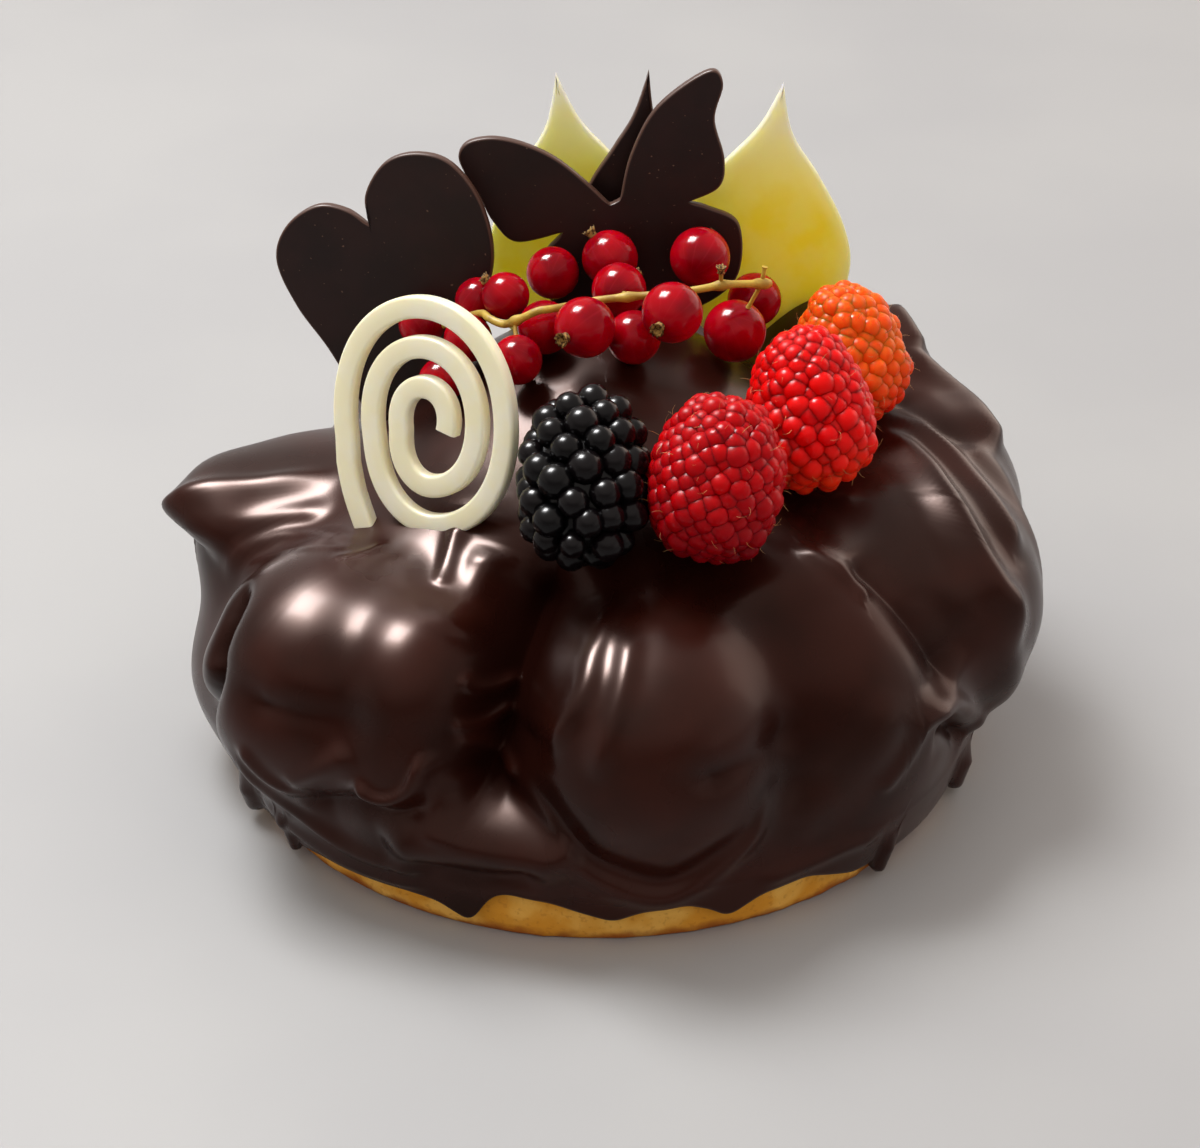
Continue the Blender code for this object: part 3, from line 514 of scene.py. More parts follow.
def across_drip(azimuth, turn, half):
    """How far round the base an azimuth is from a drip's middle, in the drip's half widths."""
    return np.radians(np.abs((azimuth - turn + 180) % 360 - 180)) * GLAZE_WALL / half


def hem_heights(azimuth):
    """How high above the ground the glaze ends, with the drips that hang from it."""
    turns, heights = np.array(HEM, float).T
    height = np.mean([np.interp(azimuth + s, turns, heights, period=360) for s in HEM_SPREAD], axis=0)
    for turn, tip, half in DRIPS:
        across = across_drip(azimuth, turn, half)
        tongue = tip + half * (1.0 - np.sqrt(np.clip(1.0 - across ** 2, 0.0, 1.0)))
        height = np.where(across < 1.0, np.minimum(height, tongue), height)
    return height


def drip_bulge(azimuth, height):
    """How far the drips stand out from the coat round them."""
    bulge = np.zeros(len(azimuth))
    grown = np.clip((BASE_HEIGHT - height) / DRIP_FADE, 0.0, 1.0)
    for turn, _, half in DRIPS:
        across = np.clip(across_drip(azimuth, turn, half) / DRIP_SPREAD, 0.0, 1.0)
        bulge = np.maximum(bulge, DRIP_BULGE * half * np.cos(across * math.pi / 2) * grown)
    return bulge


def build_glaze(material):
    t = np.linspace(-180, 180, COLUMNS, endpoint=False)
    columns = FRONT_AZIMUTH + t - np.degrees(CLOSER_IN_FRONT * np.sin(np.radians(t)))
    flat = level_ways(columns)
    hem = hem_heights(columns)
    reach = np.full(COLUMNS, HEM_REACH)
    for _ in range(HEM_WALKS):
        lowest = np.degrees(np.arctan2(hem + HEM_LIP - SIGHT_HEIGHT, reach))
        edge = plain_surface(directions(columns, lowest))
        reach = np.hypot(edge[:, 0], edge[:, 1])
    share = (np.arange(1, RINGS + 1) / RINGS) ** CLOSER_BELOW
    elevation = 90 + (lowest[None, :] - 90) * share[:, None]
    ways = directions(np.broadcast_to(columns, elevation.shape).ravel(), elevation.ravel())
    surface, crease = glaze_surface(ways)
    rows = list(surface.reshape(RINGS, COLUMNS, 3))
    for ring in rows:
        ring += flat * drip_bulge(columns, ring[:, 2])[:, None]
    last = rows[-1]
    outer = np.hypot(last[:, 0], last[:, 1])
    middle, half = (outer + GLAZE_WALL) / 2, (outer - GLAZE_WALL) / 2
    for turn in np.arange(1, LIP_ROWS + 1) * math.pi / LIP_ROWS:
        height = last[:, 2] - np.minimum(half, HEM_LIP) * math.sin(turn)
        rows.append(flat * (middle + half * math.cos(turn))[:, None] + height[:, None] * (0, 0, 1))
    for radius in (GLAZE_WALL, GLAZE_WALL / 2):
        rows.append(flat * radius + (0, 0, GLAZE_CEILING))
    top, _ = glaze_surface(directions(np.array([0.0]), np.array([90.0])))
    points, faces = closed_rings(top[0], rows, (0, 0, GLAZE_CEILING))
    piece = new_piece("glaze_over_puffs", points, faces, material)
    mark(piece, "crease", np.pad(crease, (0, len(points) - len(crease))))
    return piece


def build_base(material):
    """A round of pastry: the crust swells and sinks a little, and its foot is slightly uneven."""
    columns = np.linspace(0, 360, BASE_COLUMNS, endpoint=False)
    flat = level_ways(columns)
    side = smooth_line([(BASE_RADIUS - inside, height) for inside, height in BASE_SIDE], BASE_SIDE_STEPS)
    profile = [(side[0][0] * share, 0.0) for share in BASE_UNDERSIDE] + list(side)
    profile += [(side[-1][0] * share, BASE_HEIGHT) for share in BASE_TOP]
    rows = []
    for radius, height in profile:
        ring = flat * radius + (0, 0, height)
        crumb = sum(depth * waves(ring, length, seed) for depth, length, seed in BASE_CRUMB)
        on_side = BASE_EDGE < height < BASE_HEIGHT - BASE_EDGE
        rows.append(ring + flat * (crumb * on_side)[:, None])
    points, faces = closed_rings((0, 0, BASE_HEIGHT), rows[::-1], (0, 0, 0))
    return new_piece("golden_base", points, faces, material)


# ---------------------------------------------------------------- plaques
def stand(points, foot, turn, lean):
    """Drawn in X and Z, put on its foot, turned about the vertical and leaning back."""
    turned = np.array(Euler((-math.radians(lean), 0.0, math.radians(turn))).to_matrix())
    return points @ turned.T + np.array(foot, float)


def inset(outline, depth, sharp):
    """The outline moved inwards, and less so near its sharp points. It runs anticlockwise."""
    along = np.roll(outline, -1, 0) - np.roll(outline, 1, 0)
    outward = np.stack((along[:, 1], -along[:, 0]), 1)
    outward /= np.linalg.norm(outward, axis=1)[:, None]
    nearest = np.min([np.linalg.norm(outline - point, axis=1) for point in sharp], axis=0)
    return outline - outward * (depth * np.clip(nearest * TIP_INSET / PLAQUE_EDGE, LEAST_INSET, 1.0))[:, None]


def build_plaque(name, material):
    """A moulded plaque with rounded edges. The attribute rim is one on its edge, and inward grows to one at
    its middle."""
    points, corners, middle, factors, foot, turn, lean, _ = PLAQUES[name]
    outline = smooth_line(points, OUTLINE_STEPS, closed=True, corners=corners) * factors
    sharp = outline[[corner * OUTLINE_STEPS for corner in corners]]
    after = np.roll(outline, -1, 0)
    if np.sum(outline[:, 0] * after[:, 1] - after[:, 0] * outline[:, 1]) < 0:
        outline = outline[::-1]
    half = PLAQUE / 2
    shares = FACE_SHARES if middle else ()
    centre = np.array(middle or (0, 0), float) * factors
    rows = [(centre + (outline - centre) * share, half, 0.0, 1 - share) for share in shares]
    rows.append((inset(outline, PLAQUE_EDGE * FLAT_FROM, sharp), half, 0.0, 0.0))
    for a in np.radians((90, 60, 30, 0)):
        depth, up = PLAQUE_EDGE * (1 - math.cos(a)), PLAQUE_EDGE * (1 - math.sin(a))
        rows.append((inset(outline, depth, sharp), half - up, float(depth < PLAQUE_EDGE * RIM_FROM), 0.0))
    rings, rim, inward = [], [], []
    for side in (-1, 1):
        for ring, height, edge, deep in rows[::-side]:
            rings.append(np.insert(ring, 1, side * height, axis=1))
            rim += [edge] * len(ring)
            inward += [deep] * len(ring)
    if middle:
        points, faces = closed_rings((centre[0], -half, centre[1]), rings, (centre[0], half, centre[1]))
        rim += [0.0, 0.0]
        inward += [1.0, 1.0]
    else:
        count, columns = len(rings), len(outline)
        points = np.array(rings).reshape(-1, 3)
        faces = ring_faces(columns, count)
        faces.append(tuple(range(columns)))
        faces.append(tuple(range((count - 1) * columns, count * columns))[::-1])
    piece = new_piece(name + "_plaque", stand(points, foot, turn, lean), faces, material)
    piece.data.set_sharp_from_angle(angle=math.radians(PLAQUE_CREASE))
    mark(piece, "rim", rim)
    mark(piece, "inward", inward)
    return piece


# ---------------------------------------------------------------- node trees that grow pieces
def new_tree(name, inputs):
    """An empty tree of geometry nodes with named inputs, and those inputs by name."""
    tree = bpy.data.node_groups.new(name, "GeometryNodeTree")
    tree.interface.new_socket("Geometry", in_out="OUTPUT", socket_type="NodeSocketGeometry")
    for label, kind in {"Geometry": "Geometry", **inputs}.items():
        tree.interface.new_socket(label, in_out="INPUT", socket_type="NodeSocket" + kind)
    source = tree.nodes.new("NodeGroupInput")
    return tree, {socket.name: socket for socket in source.outputs if socket.name}


def close_tree(tree, geometry, material):
    """Make the instances real, give them their finish and hand them out."""
    real = add(tree, "GeometryNodeRealizeInstances", {"Geometry": geometry})
    finished = add(tree, "GeometryNodeSetMaterial", {"Geometry": real, "Material": material})
    add(tree, "NodeGroupOutput", (finished,))
    return tree


def grow(piece, tree, values):
    """Run the tree on the piece and keep the plain mesh that comes out."""
    modifier = piece.modifiers.new("grow", "NODES")
    modifier.node_group = tree
    for item in tree.interface.items_tree:
        if item.in_out == "INPUT" and item.name in values:
            modifier[item.identifier] = values[item.name]
    bpy.context.view_layer.update()
    grown = bpy.data.meshes.new_from_object(piece.evaluated_get(bpy.context.evaluated_depsgraph_get()))
    piece.modifiers.clear()
    piece.data = grown
    return piece


def put_in_place(piece, turns, place):
    """Turn the mesh, in degrees about X, Y and Z, and move it to its place in millimetres."""
    turned = Euler([math.radians(turn) for turn in turns]).to_matrix().to_4x4()
    piece.data.transform(Matrix.Translation([c * MM for c in place]) @ turned)
    return piece


def spiral_line():
    """The middle of the piped band, from the tail at its foot to the inner end."""
    turns = np.linspace(0.0, SPIRAL_TURNS, SPIRAL_STATIONS)
    whole, part = np.divmod(turns, 1.0)
    ease = np.clip((part - SPIRAL_STEP_START) / (1.0 - SPIRAL_STEP_START), 0.0, 1.0)
    radius = SPIRAL_RADIUS - SPIRAL_SLOPE * turns - SPIRAL_STEP * (whole + ease ** 2 * (3 - 2 * ease))
    way = SPIRAL_START - 360 * turns
    radius *= 1.0 + SPIRAL_OVAL * np.cos(2 * np.radians(way - SPIRAL_TALL))
    wound = SPIRAL_MIDDLE + radius[:, None] * level_ways(way)[:, :2]
    return np.vstack((smooth_line(SPIRAL_TAIL, SPIRAL_TAIL_STEPS), wound))


def band_tree(material):
    """A flat band with rounded edges along a line that lies in X and Y."""
    tree, sizes = new_tree("piped_band", {"Width": "Float", "Depth": "Float", "Edge": "Float"})
    line = add(tree, "GeometryNodeMeshToCurve", {"Mesh": sizes["Geometry"]})
    level = add(tree, "GeometryNodeSetCurveNormal", {"Curve": line}, mode="Z_UP")
    section = add(tree, "GeometryNodeCurvePrimitiveQuadrilateral",
                  {"Width": sizes["Width"], "Height": sizes["Depth"]})
    soft = add(tree, "GeometryNodeFilletCurve",
               {"Curve": section, "Radius": sizes["Edge"], 1: BAND_EDGE_STEPS}, mode="POLY")
    band = add(tree, "GeometryNodeCurveToMesh", {"Curve": level, "Profile Curve": soft, "Fill Caps": True})
    return close_tree(tree, band, material)


def build_spiral(material):
    line = spiral_line()
    edges = [(i, i + 1) for i in range(len(line) - 1)]
    piece = new_piece("piped_spiral", np.column_stack((line, np.zeros(len(line)))), [], None, edges)
    grow(piece, band_tree(material),
         {"Width": BAND_WIDTH * MM, "Depth": BAND_DEPTH * MM, "Edge": BAND_EDGE * MM})
    put_in_place(piece, (90, 0, 0), (0, 0, 0))
    put_in_place(piece, (-SPIRAL_LEAN, 0, SPIRAL_TURN), SPIRAL_FOOT)
    piece.data.shade_smooth()
    piece.data.set_sharp_from_angle(angle=math.radians(BAND_CREASE))
    return piece


# ---------------------------------------------------------------- fruit
def currants():
    """Middle and radius of each currant, in millimetres, by its number."""
    found = {}
    for number in FLOWER_WAYS:
        low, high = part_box(f"redcurrant_{number:02d}")
        found[number] = (np.array((low + high) / 2) / MM, (high.z - low.z) / 2 / MM)
    return found


def cloud(name, rows):
    """A mesh of loose points, each with a size and a way."""
    places, sizes, ways = zip(*rows)
    piece = new_piece(name, places, [], None)
    mark(piece, "size", np.array(sizes) * MM)
    way = piece.data.attributes.new("way", "FLOAT_VECTOR", "POINT")
    way.data.foreach_set("vector", np.array(ways, float).ravel())
    return piece


def set_on_points(tree, points, instance):
    """The instance on each point, as big as the point's size and turned its way."""
    way = add(tree, "GeometryNodeInputNamedAttribute", {"Name": "way"}, data_type="FLOAT_VECTOR")
    size = add(tree, "GeometryNodeInputNamedAttribute", {"Name": "size"}, data_type="FLOAT")
    turn = add(tree, "FunctionNodeAlignRotationToVector", {"Vector": way}, axis="Z")
    return add(tree, "GeometryNodeInstanceOnPoints",
               {"Points": points, "Instance": instance, "Rotation": turn, "Scale": size})


def currant_tree(material):
    """Round berries. The attribute berry_place holds each point's place on its own berry."""
    tree, sizes = new_tree("currants", {"Segments": "Int", "Rings": "Int"})
    sphere = add(tree, "GeometryNodeMeshUVSphere",
                 {"Segments": sizes["Segments"], "Rings": sizes["Rings"], "Radius": 1.0})
    place = add(tree, "GeometryNodeInputPosition")
    skin = add(tree, "GeometryNodeStoreNamedAttribute",
               {"Geometry": sphere, "Name": "berry_place", "Value": place}, data_type="FLOAT_VECTOR")
    smooth = add(tree, "GeometryNodeSetShadeSmooth", {"Geometry": skin})
    return close_tree(tree, set_on_points(tree, sizes["Geometry"], smooth), material)


def flower_end():
    """The dried flower on a berry of radius one: a frayed tube of withered sepals, open on top."""
    ragged = np.resize(FLOWER_FRAY, FLOWER_SIDES)[:, None]
    flat = level_ways(np.arange(FLOWER_SIDES) / FLOWER_SIDES * 360)
    rings = [flat * (radius + fray * ragged * FRAY_OUT) + (height + fray * ragged) * (0, 0, 1)
             for radius, height, fray in FLOWER_PROFILE]
    points, faces = closed_rings((0, 0, FLOWER_PIT), rings[::-1], (0, 0, FLOWER_ROOT))
    return new_piece("flower_end", points / MM, faces, None)


def flower_tree(material):
    tree, sizes = new_tree("flower_ends", {"Flower": "Object"})
    shape = add(tree, "GeometryNodeObjectInfo", {"Object": sizes["Flower"]}, out="Geometry")
    return close_tree(tree, set_on_points(tree, sizes["Geometry"], shape), material)


def build_currants(skin, dried):
    rows = [(middle, radius, FLOWER_WAYS[number]) for number, (middle, radius) in currants().items()]
    nodes = [f"redcurrant_{number:02d}" for number in FLOWER_WAYS]
    berries = grow(cloud("redcurrant_berries", rows), currant_tree(skin), {"Segments": 48, "Rings": 28})
    flower = flower_end()
    tip = np.array(BROKEN_TWIG[1]) - (0, 0, BROKEN_TIP)
    rows.append((tip, BROKEN_TIP, (0, 0, 1)))
    ends = grow(cloud("dried_flower_ends", rows), flower_tree(dried), {"Flower": flower})
    bpy.data.objects.remove(flower, do_unlink=True)
    dress(berries, "currant_skin", *nodes)
    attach(ends, "root")


def twig_tree(material):
    """Round twigs along lines whose points carry a size."""
    tree, sizes = new_tree("twigs", {"Sides": "Int"})
    line = add(tree, "GeometryNodeMeshToCurve", {"Mesh": sizes["Geometry"]})
    ring = add(tree, "GeometryNodeCurvePrimitiveCircle", {"Resolution": sizes["Sides"], "Radius": 1.0})
    size = add(tree, "GeometryNodeInputNamedAttribute", {"Name": "size"}, data_type="FLOAT")
    bark = add(tree, "GeometryNodeCurveToMesh",
               {"Curve": line, "Profile Curve": ring, "Fill Caps": True, "Scale": size})
    return close_tree(tree, bark, material)


def build_stalk(material):
    """The currants' stem, thicker where a berry's own short stem leaves it."""
    line = smooth_line(STALK, STALK_STEPS)
    twigs = [np.array(twig, float) for twig in (BROKEN_TWIG, END_TWIG)]
    for middle, radius in currants().values():
        start = line[np.argmin(np.linalg.norm(line - middle, axis=1))]
        away = np.linalg.norm(middle - start)
        if NEAREST_TWIG < away - radius < FARTHEST_TWIG:
            twigs.append((start, middle + (start - middle) * (radius - TWIG_SINKS_IN) / away))
    swelling = sum(np.exp(-(np.linalg.norm(line - start, axis=1) / KNOT_LENGTH) ** 2) for start, _ in twigs)
    paths = [(line, STALK_RADIUS * (1.0 + KNOT * np.minimum(swelling, 1.0)))]
    for a, b in twigs:
        path = smooth_line((a, (a + b) / 2 + np.cross(b - a, (0, 0, TWIG_BEND)), b), TWIG_STEPS)
        share = np.linspace(0, 1, len(path))
        flare = np.exp(-(share / TWIG_FLARES[0]) ** 2) + np.exp(-((1 - share) / TWIG_FLARES[1]) ** 2)
        paths.append((path, TWIG_RADIUS * (1.0 + TWIG_FLARE * flare)))
    edges, count = [], 0
    for path, _ in paths:
        edges += [(count + i, count + i + 1) for i in range(len(path) - 1)]
        count += len(path)
    piece = new_piece("currant_stem", np.concatenate([path for path, _ in paths]), [], None, edges)
    mark(piece, "size", np.concatenate([radii for _, radii in paths]) * MM)
    grow(piece, twig_tree(material), {"Sides": 10})
    piece.data.shade_smooth()
    return piece


def drupelet_tree(skin, hair_finish):
    """A berry of drupelets, set along a spiral that spreads them evenly, with a hair on some of them."""
    tree, sizes = new_tree("drupelets", {
        "Count": "Int", "Half Width": "Float", "Half Length": "Float", "Taper": "Float", "Drupelet": "Float",
        "Scatter": "Float", "Hairs": "Float", "Hair": "Object", "Seed": "Int"})
    at = {**sizes, "index": add(tree, "GeometryNodeInputIndex")}
    # share runs from 0 at the top of the spiral to 1 at its foot, and level from 1 to -1
    for name, operation, *values in (
            ("middle", "ADD", "index", 0.5), ("share", "DIVIDE", "middle", "Count"),
            ("level", "MULTIPLY_ADD", "share", -2.0, 1.0), ("squared", "MULTIPLY", "level", "level"),
            ("rest", "SUBTRACT", 1.0, "squared"), ("around", "SQRT", "rest"),
            ("full", "POWER", "around", BERRY_FULLNESS), ("narrowing", "MULTIPLY", "level", "Taper"),
            ("narrowed", "SUBTRACT", 1.0, "narrowing"), ("girth", "MULTIPLY", "full", "narrowed"),
            ("radius", "MULTIPLY", "girth", "Half Width"), ("height", "MULTIPLY", "level", "Half Length"),
            ("turn", "MULTIPLY", "index", GOLDEN_ANGLE), ("lifted", "MULTIPLY", "level", FACING_LEVEL),
            ("smaller", "MULTIPLY_ADD", "around", 1.0 - POLE_DRUPELET, POLE_DRUPELET)):
        at[name] = add(tree, MATH, [at.get(value, value) for value in values], operation=operation)
    for name, across, up in (("place", "radius", "height"), ("outward", "around", "lifted")):
        arm = add(tree, "ShaderNodeCombineXYZ", {"X": at[across], "Z": at[up]})
        at[name] = add(tree, "ShaderNodeVectorRotate", {"Vector": arm, "Angle": at["turn"]},
                       rotation_type="Z_AXIS")
    for name, kind, low, high, seed in (
            ("shift", "FLOAT_VECTOR", (-1.0, -1.0, -1.0), (1.0, 1.0, 1.0), sizes["Seed"]),
            ("sway", "FLOAT_VECTOR", (-HAIR_SWAY, -HAIR_SWAY, 0.0), (HAIR_SWAY, HAIR_SWAY, math.tau), 4),
            ("uneven", "FLOAT", *DRUPELET_SPREAD, sizes["Seed"]), ("tone", "FLOAT", 0.0, 1.0, 5),
            ("hair_size", "FLOAT", *HAIR_SPREAD, 7)):
        at[name] = add(tree, "FunctionNodeRandomValue", {"Min": low, "Max": high, "Seed": seed},
                       data_type=kind)
    shift = add(tree, "ShaderNodeVectorMath", {0: at["shift"], "Scale": sizes["Scatter"]}, operation="SCALE")
    scattered = add(tree, "ShaderNodeVectorMath", (at["place"], shift))
    points = add(tree, "GeometryNodePoints", {"Count": sizes["Count"], "Position": scattered})

    sphere = add(tree, "GeometryNodeMeshUVSphere", {"Segments": 12, "Rings": 7, "Radius": 1.0})
    smooth = add(tree, "GeometryNodeSetShadeSmooth", {"Geometry": sphere})
    facing = add(tree, "FunctionNodeAlignRotationToVector", {"Vector": at["outward"]}, axis="Z")
    share = add(tree, MATH, (at["uneven"], at["smaller"]), operation="MULTIPLY")
    size = add(tree, MATH, (share, sizes["Drupelet"]), operation="MULTIPLY")
    drupelets = add(tree, "GeometryNodeInstanceOnPoints",
                    {"Points": points, "Instance": smooth, "Rotation": facing, "Scale": size})
    toned = add(tree, "GeometryNodeStoreNamedAttribute",
                {"Geometry": drupelets, "Name": "tone", "Value": at["tone"]},
                data_type="FLOAT", domain="INSTANCE")
    core = add(tree, "GeometryNodeMeshUVSphere", {"Segments": 32, "Rings": 20, "Radius": CORE_SHARE})
    halves = [sizes[name] for name in ("Half Width", "Half Width", "Half Length")]
    core_size = add(tree, "ShaderNodeCombineXYZ", halves)
    core_sized = add(tree, "GeometryNodeTransform", {"Geometry": core, "Scale": core_size})
    core_smooth = add(tree, "GeometryNodeSetShadeSmooth", {"Geometry": core_sized})
    berry = add(tree, "GeometryNodeJoinGeometry", ([toned, core_smooth],))
    skinned = add(tree, "GeometryNodeSetMaterial", {"Geometry": berry, "Material": skin})

    rise = add(tree, "ShaderNodeVectorMath", {0: at["outward"], "Scale": sizes["Drupelet"]},
               operation="SCALE")
    tips = add(tree, "GeometryNodeSetPosition", {"Geometry": points, "Offset": rise})
    chosen = add(tree, "FunctionNodeRandomValue", {"Probability": sizes["Hairs"], "Seed": 3},
                 data_type="BOOLEAN")
    swayed = add(tree, "FunctionNodeRotateRotation", (facing, at["sway"]), rotation_space="LOCAL")
    shape = add(tree, "GeometryNodeObjectInfo", {"Object": sizes["Hair"]}, out="Geometry")
    hairs = add(tree, "GeometryNodeInstanceOnPoints",
                {"Points": tips, "Selection": chosen, "Scale": at["hair_size"], "Instance": shape,
                 "Rotation": swayed})
    downy = add(tree, "GeometryNodeSetMaterial", {"Geometry": hairs, "Material": hair_finish})
    whole = add(tree, "GeometryNodeJoinGeometry", ([skinned, downy],))
    real = add(tree, "GeometryNodeRealizeInstances", {"Geometry": whole})
    add(tree, "NodeGroupOutput", (real,))
    return tree


def build_hair():
    """One bent hair, thinner towards its tip."""
    flat = level_ways(np.arange(HAIR_SIDES) / HAIR_SIDES * 360)
    rings = []
    for share in HAIR_STATIONS:
        middle = (HAIR_BEND * share ** 2, 0, HAIR_LENGTH * (share - HAIR_DROOP * share ** 2))
        rings.append(flat * HAIR_RADIUS * (1.0 - HAIR_TAPER * share) + middle)
    points, faces = closed_rings(rings[-1].mean(0), rings[::-1], (0, 0, 0))
    return new_piece("hair", points, faces, None)


def build_drupe_berry(name, skin, hair_finish, hair, seed):
    """The drupelets' middles lie inside the berry's own size, which its drupelets then reach."""
    middle, wide, long, (back, side), count, drupelet, scatter, taper, hairs, _ = DRUPE_BERRIES[name]
    inside = drupelet * DRUPELETS_STAND_OUT
    piece = new_piece(name + "_berry", [(0, 0, 0)], [], None)
    grow(piece, drupelet_tree(skin, hair_finish), {
        "Count": count, "Half Width": (wide / (1 + taper / 2) - inside) * MM,
        "Half Length": (long - inside) * MM, "Taper": taper, "Drupelet": drupelet * MM,
        "Scatter": scatter * MM, "Hairs": hairs, "Hair": hair, "Seed": seed})
    return put_in_place(piece, (-back, side, 0), middle)


# ---------------------------------------------------------------- materials
def finish(name, paint, *values):
    """A material of that name, with the look that the function paints."""
    material = bpy.data.materials.new(name)
    material.use_nodes = True
    paint(material.node_tree, *values)
    return material


def shade(tree, **sockets):
    """Set the shader's own sockets, or link them to what the tree makes."""
    inputs = {name.replace("_", " "): value for name, value in sockets.items()}
    fill(tree, tree.nodes["Principled BSDF"], inputs)


def patches(tree, size, low=0.0, high=1.0, edges=(0.35, 0.65), detail=3.0):
    """Soft patches about that many millimetres across, from one value to the other."""
    place = add(tree, "ShaderNodeTexCoord", out="Object")
    noise = add(tree, NOISE, {"Vector": place, "Scale": per(size), "Detail": detail}, out="Fac")
    return add(tree, MAP, (noise, *edges, low, high), interpolation_type="SMOOTHSTEP")


def mottled(tree, under, over, *pattern):
    """One colour with soft patches of another."""
    return add(tree, MIX, {"Factor": patches(tree, *pattern), "A": under, "B": over}, data_type="RGBA")


def unevenness(tree, size, depth, strength, detail=2.0):
    """A fine unevenness of the surface: how wide its swellings are and how high, in millimetres."""
    place = add(tree, "ShaderNodeTexCoord", out="Object")
    swelling = add(tree, NOISE, {"Vector": place, "Scale": per(size), "Detail": detail}, out="Fac")
    return add(tree, "ShaderNodeBump", {"Height": swelling, "Distance": depth * MM, "Strength": strength})


def climb(tree, low, high, wander=0.0, size=6.0):
    """From 0 at one height to 1 at another, in millimetres, along a border that wanders."""
    place = add(tree, "ShaderNodeTexCoord", out="Object")
    height = add(tree, "ShaderNodeSeparateXYZ", {"Vector": place}, out="Z")
    shifted = add(tree, MATH, (patches(tree, size, 0.0, wander * MM, (0.2, 0.8)), height))
    return add(tree, MAP, (shifted, low * MM, high * MM), interpolation_type="SMOOTHSTEP")


def poured_chocolate(tree):
    """Dark couverture thinned with cocoa butter and poured warm: red brown and softly glossy. Cocoa butter on
    its surface tints the sheen, and it is a little clearer in patches and dull in the creases. In the creases
    its colour is also painted darker, as painted shade."""
    crease = add(tree, "ShaderNodeAttribute", attribute_name="crease", out="Fac")
    tone = mottled(tree, "#1E0804", "#2E0F08", 26)
    # painted shade: the colour is mixed to a darker brown where the glaze lies deep in a crease
    crease_painted_shade = add(tree, MIX, {"Factor": crease, "A": tone, "B": "#1A0805"}, data_type="RGBA")
    gloss = add(tree, MAP, {"Value": crease, "To Min": 0.22, "To Max": 0.0})
    coat = add(tree, MAP, {"Value": crease, "To Min": 0.08, "To Max": 0.0})
    shade(tree, Base_Color=crease_painted_shade, Roughness=patches(tree, 14, 0.26, 0.34, (0.3, 0.7)),
          Specular_IOR_Level=gloss, Specular_Tint="#FFD6C8", Coat_Weight=coat, Coat_Roughness=0.16,
          Coat_IOR=1.45, Normal=unevenness(tree, 3.2, 0.04, 0.15))


def baked_crust(tree):
    """Shortcrust baked golden: dry and finely porous, browner in small freckles and where it met the tin."""
    crust = mottled(tree, "#E09A2C", "#F2BC58", 9)
    freckled = mottled(tree, crust, "#B46A20", 1.1, 0.0, 0.35, (0.54, 0.70))
    foot = climb(tree, 3.8, 1.2, 2.4)
    baked = add(tree, MIX, {"Factor": foot, "A": freckled, "B": "#A65A18"}, data_type="RGBA")
    shade(tree, Base_Color=baked, Roughness=0.7, Specular_IOR_Level=0.25,
          Normal=unevenness(tree, 0.8, 0.2, 0.8, 4.0))


def moulded_chocolate(tree):
    """Dark chocolate set against film: satin, almost black, with a paler rim and a few fine specks."""
    rim = add(tree, "ShaderNodeAttribute", attribute_name="rim", out="Fac")
    face = mottled(tree, "#1C0C0A", "#26110E", 14)
    specked = mottled(tree, face, "#8A6A58", 0.8, 0.0, 0.5, (0.74, 0.80), 1.0)
    rim_paled = add(tree, MIX, {"Factor": rim, "A": specked, "B": "#4E3226"}, data_type="RGBA")
    shade(tree, Base_Color=rim_paled, Roughness=patches(tree, 5, 0.4, 0.5, (0.3, 0.7)), Specular_IOR_Level=0.3,
          Normal=unevenness(tree, 2.0, 0.04, 0.3))


def coloured_chocolate(tree):
    """White chocolate coloured yellow and set thin: light goes through it, and it pales as it thins out."""
    inward = add(tree, "ShaderNodeAttribute", attribute_name="inward", out="Fac")
    deeper = add(tree, MAP, {"Value": inward, "From Max": 0.22}, interpolation_type="SMOOTHSTEP")
    body = add(tree, MIX, {"Factor": deeper, "A": "#FFF3A0", "B": "#FCE640"}, data_type="RGBA")
    tip = add(tree, MIX, {"Factor": climb(tree, 90, 118), "A": body, "B": "#FEFBDC"}, data_type="RGBA")
    cloudy = mottled(tree, tip, "#FFF7A8", 7, 0.0, 0.3)
    shade(tree, Base_Color=cloudy, Roughness=0.36, Subsurface_Weight=0.9, Subsurface_Scale=6.0 * MM,
          Subsurface_Radius=(1.0, 0.86, 0.36), Normal=unevenness(tree, 2.5, 0.03, 0.3))


def piped_chocolate(tree):
    """White chocolate piped and set on film: ivory, with soft rounded flanks."""
    shade(tree, Base_Color=mottled(tree, "#FFF7D2", "#FFFBE0", 8), Roughness=0.38, Subsurface_Weight=0.4,
          Subsurface_Scale=1.4 * MM, Subsurface_Radius=(1.0, 0.85, 0.5),
          Normal=unevenness(tree, 2.0, 0.04, 0.25))


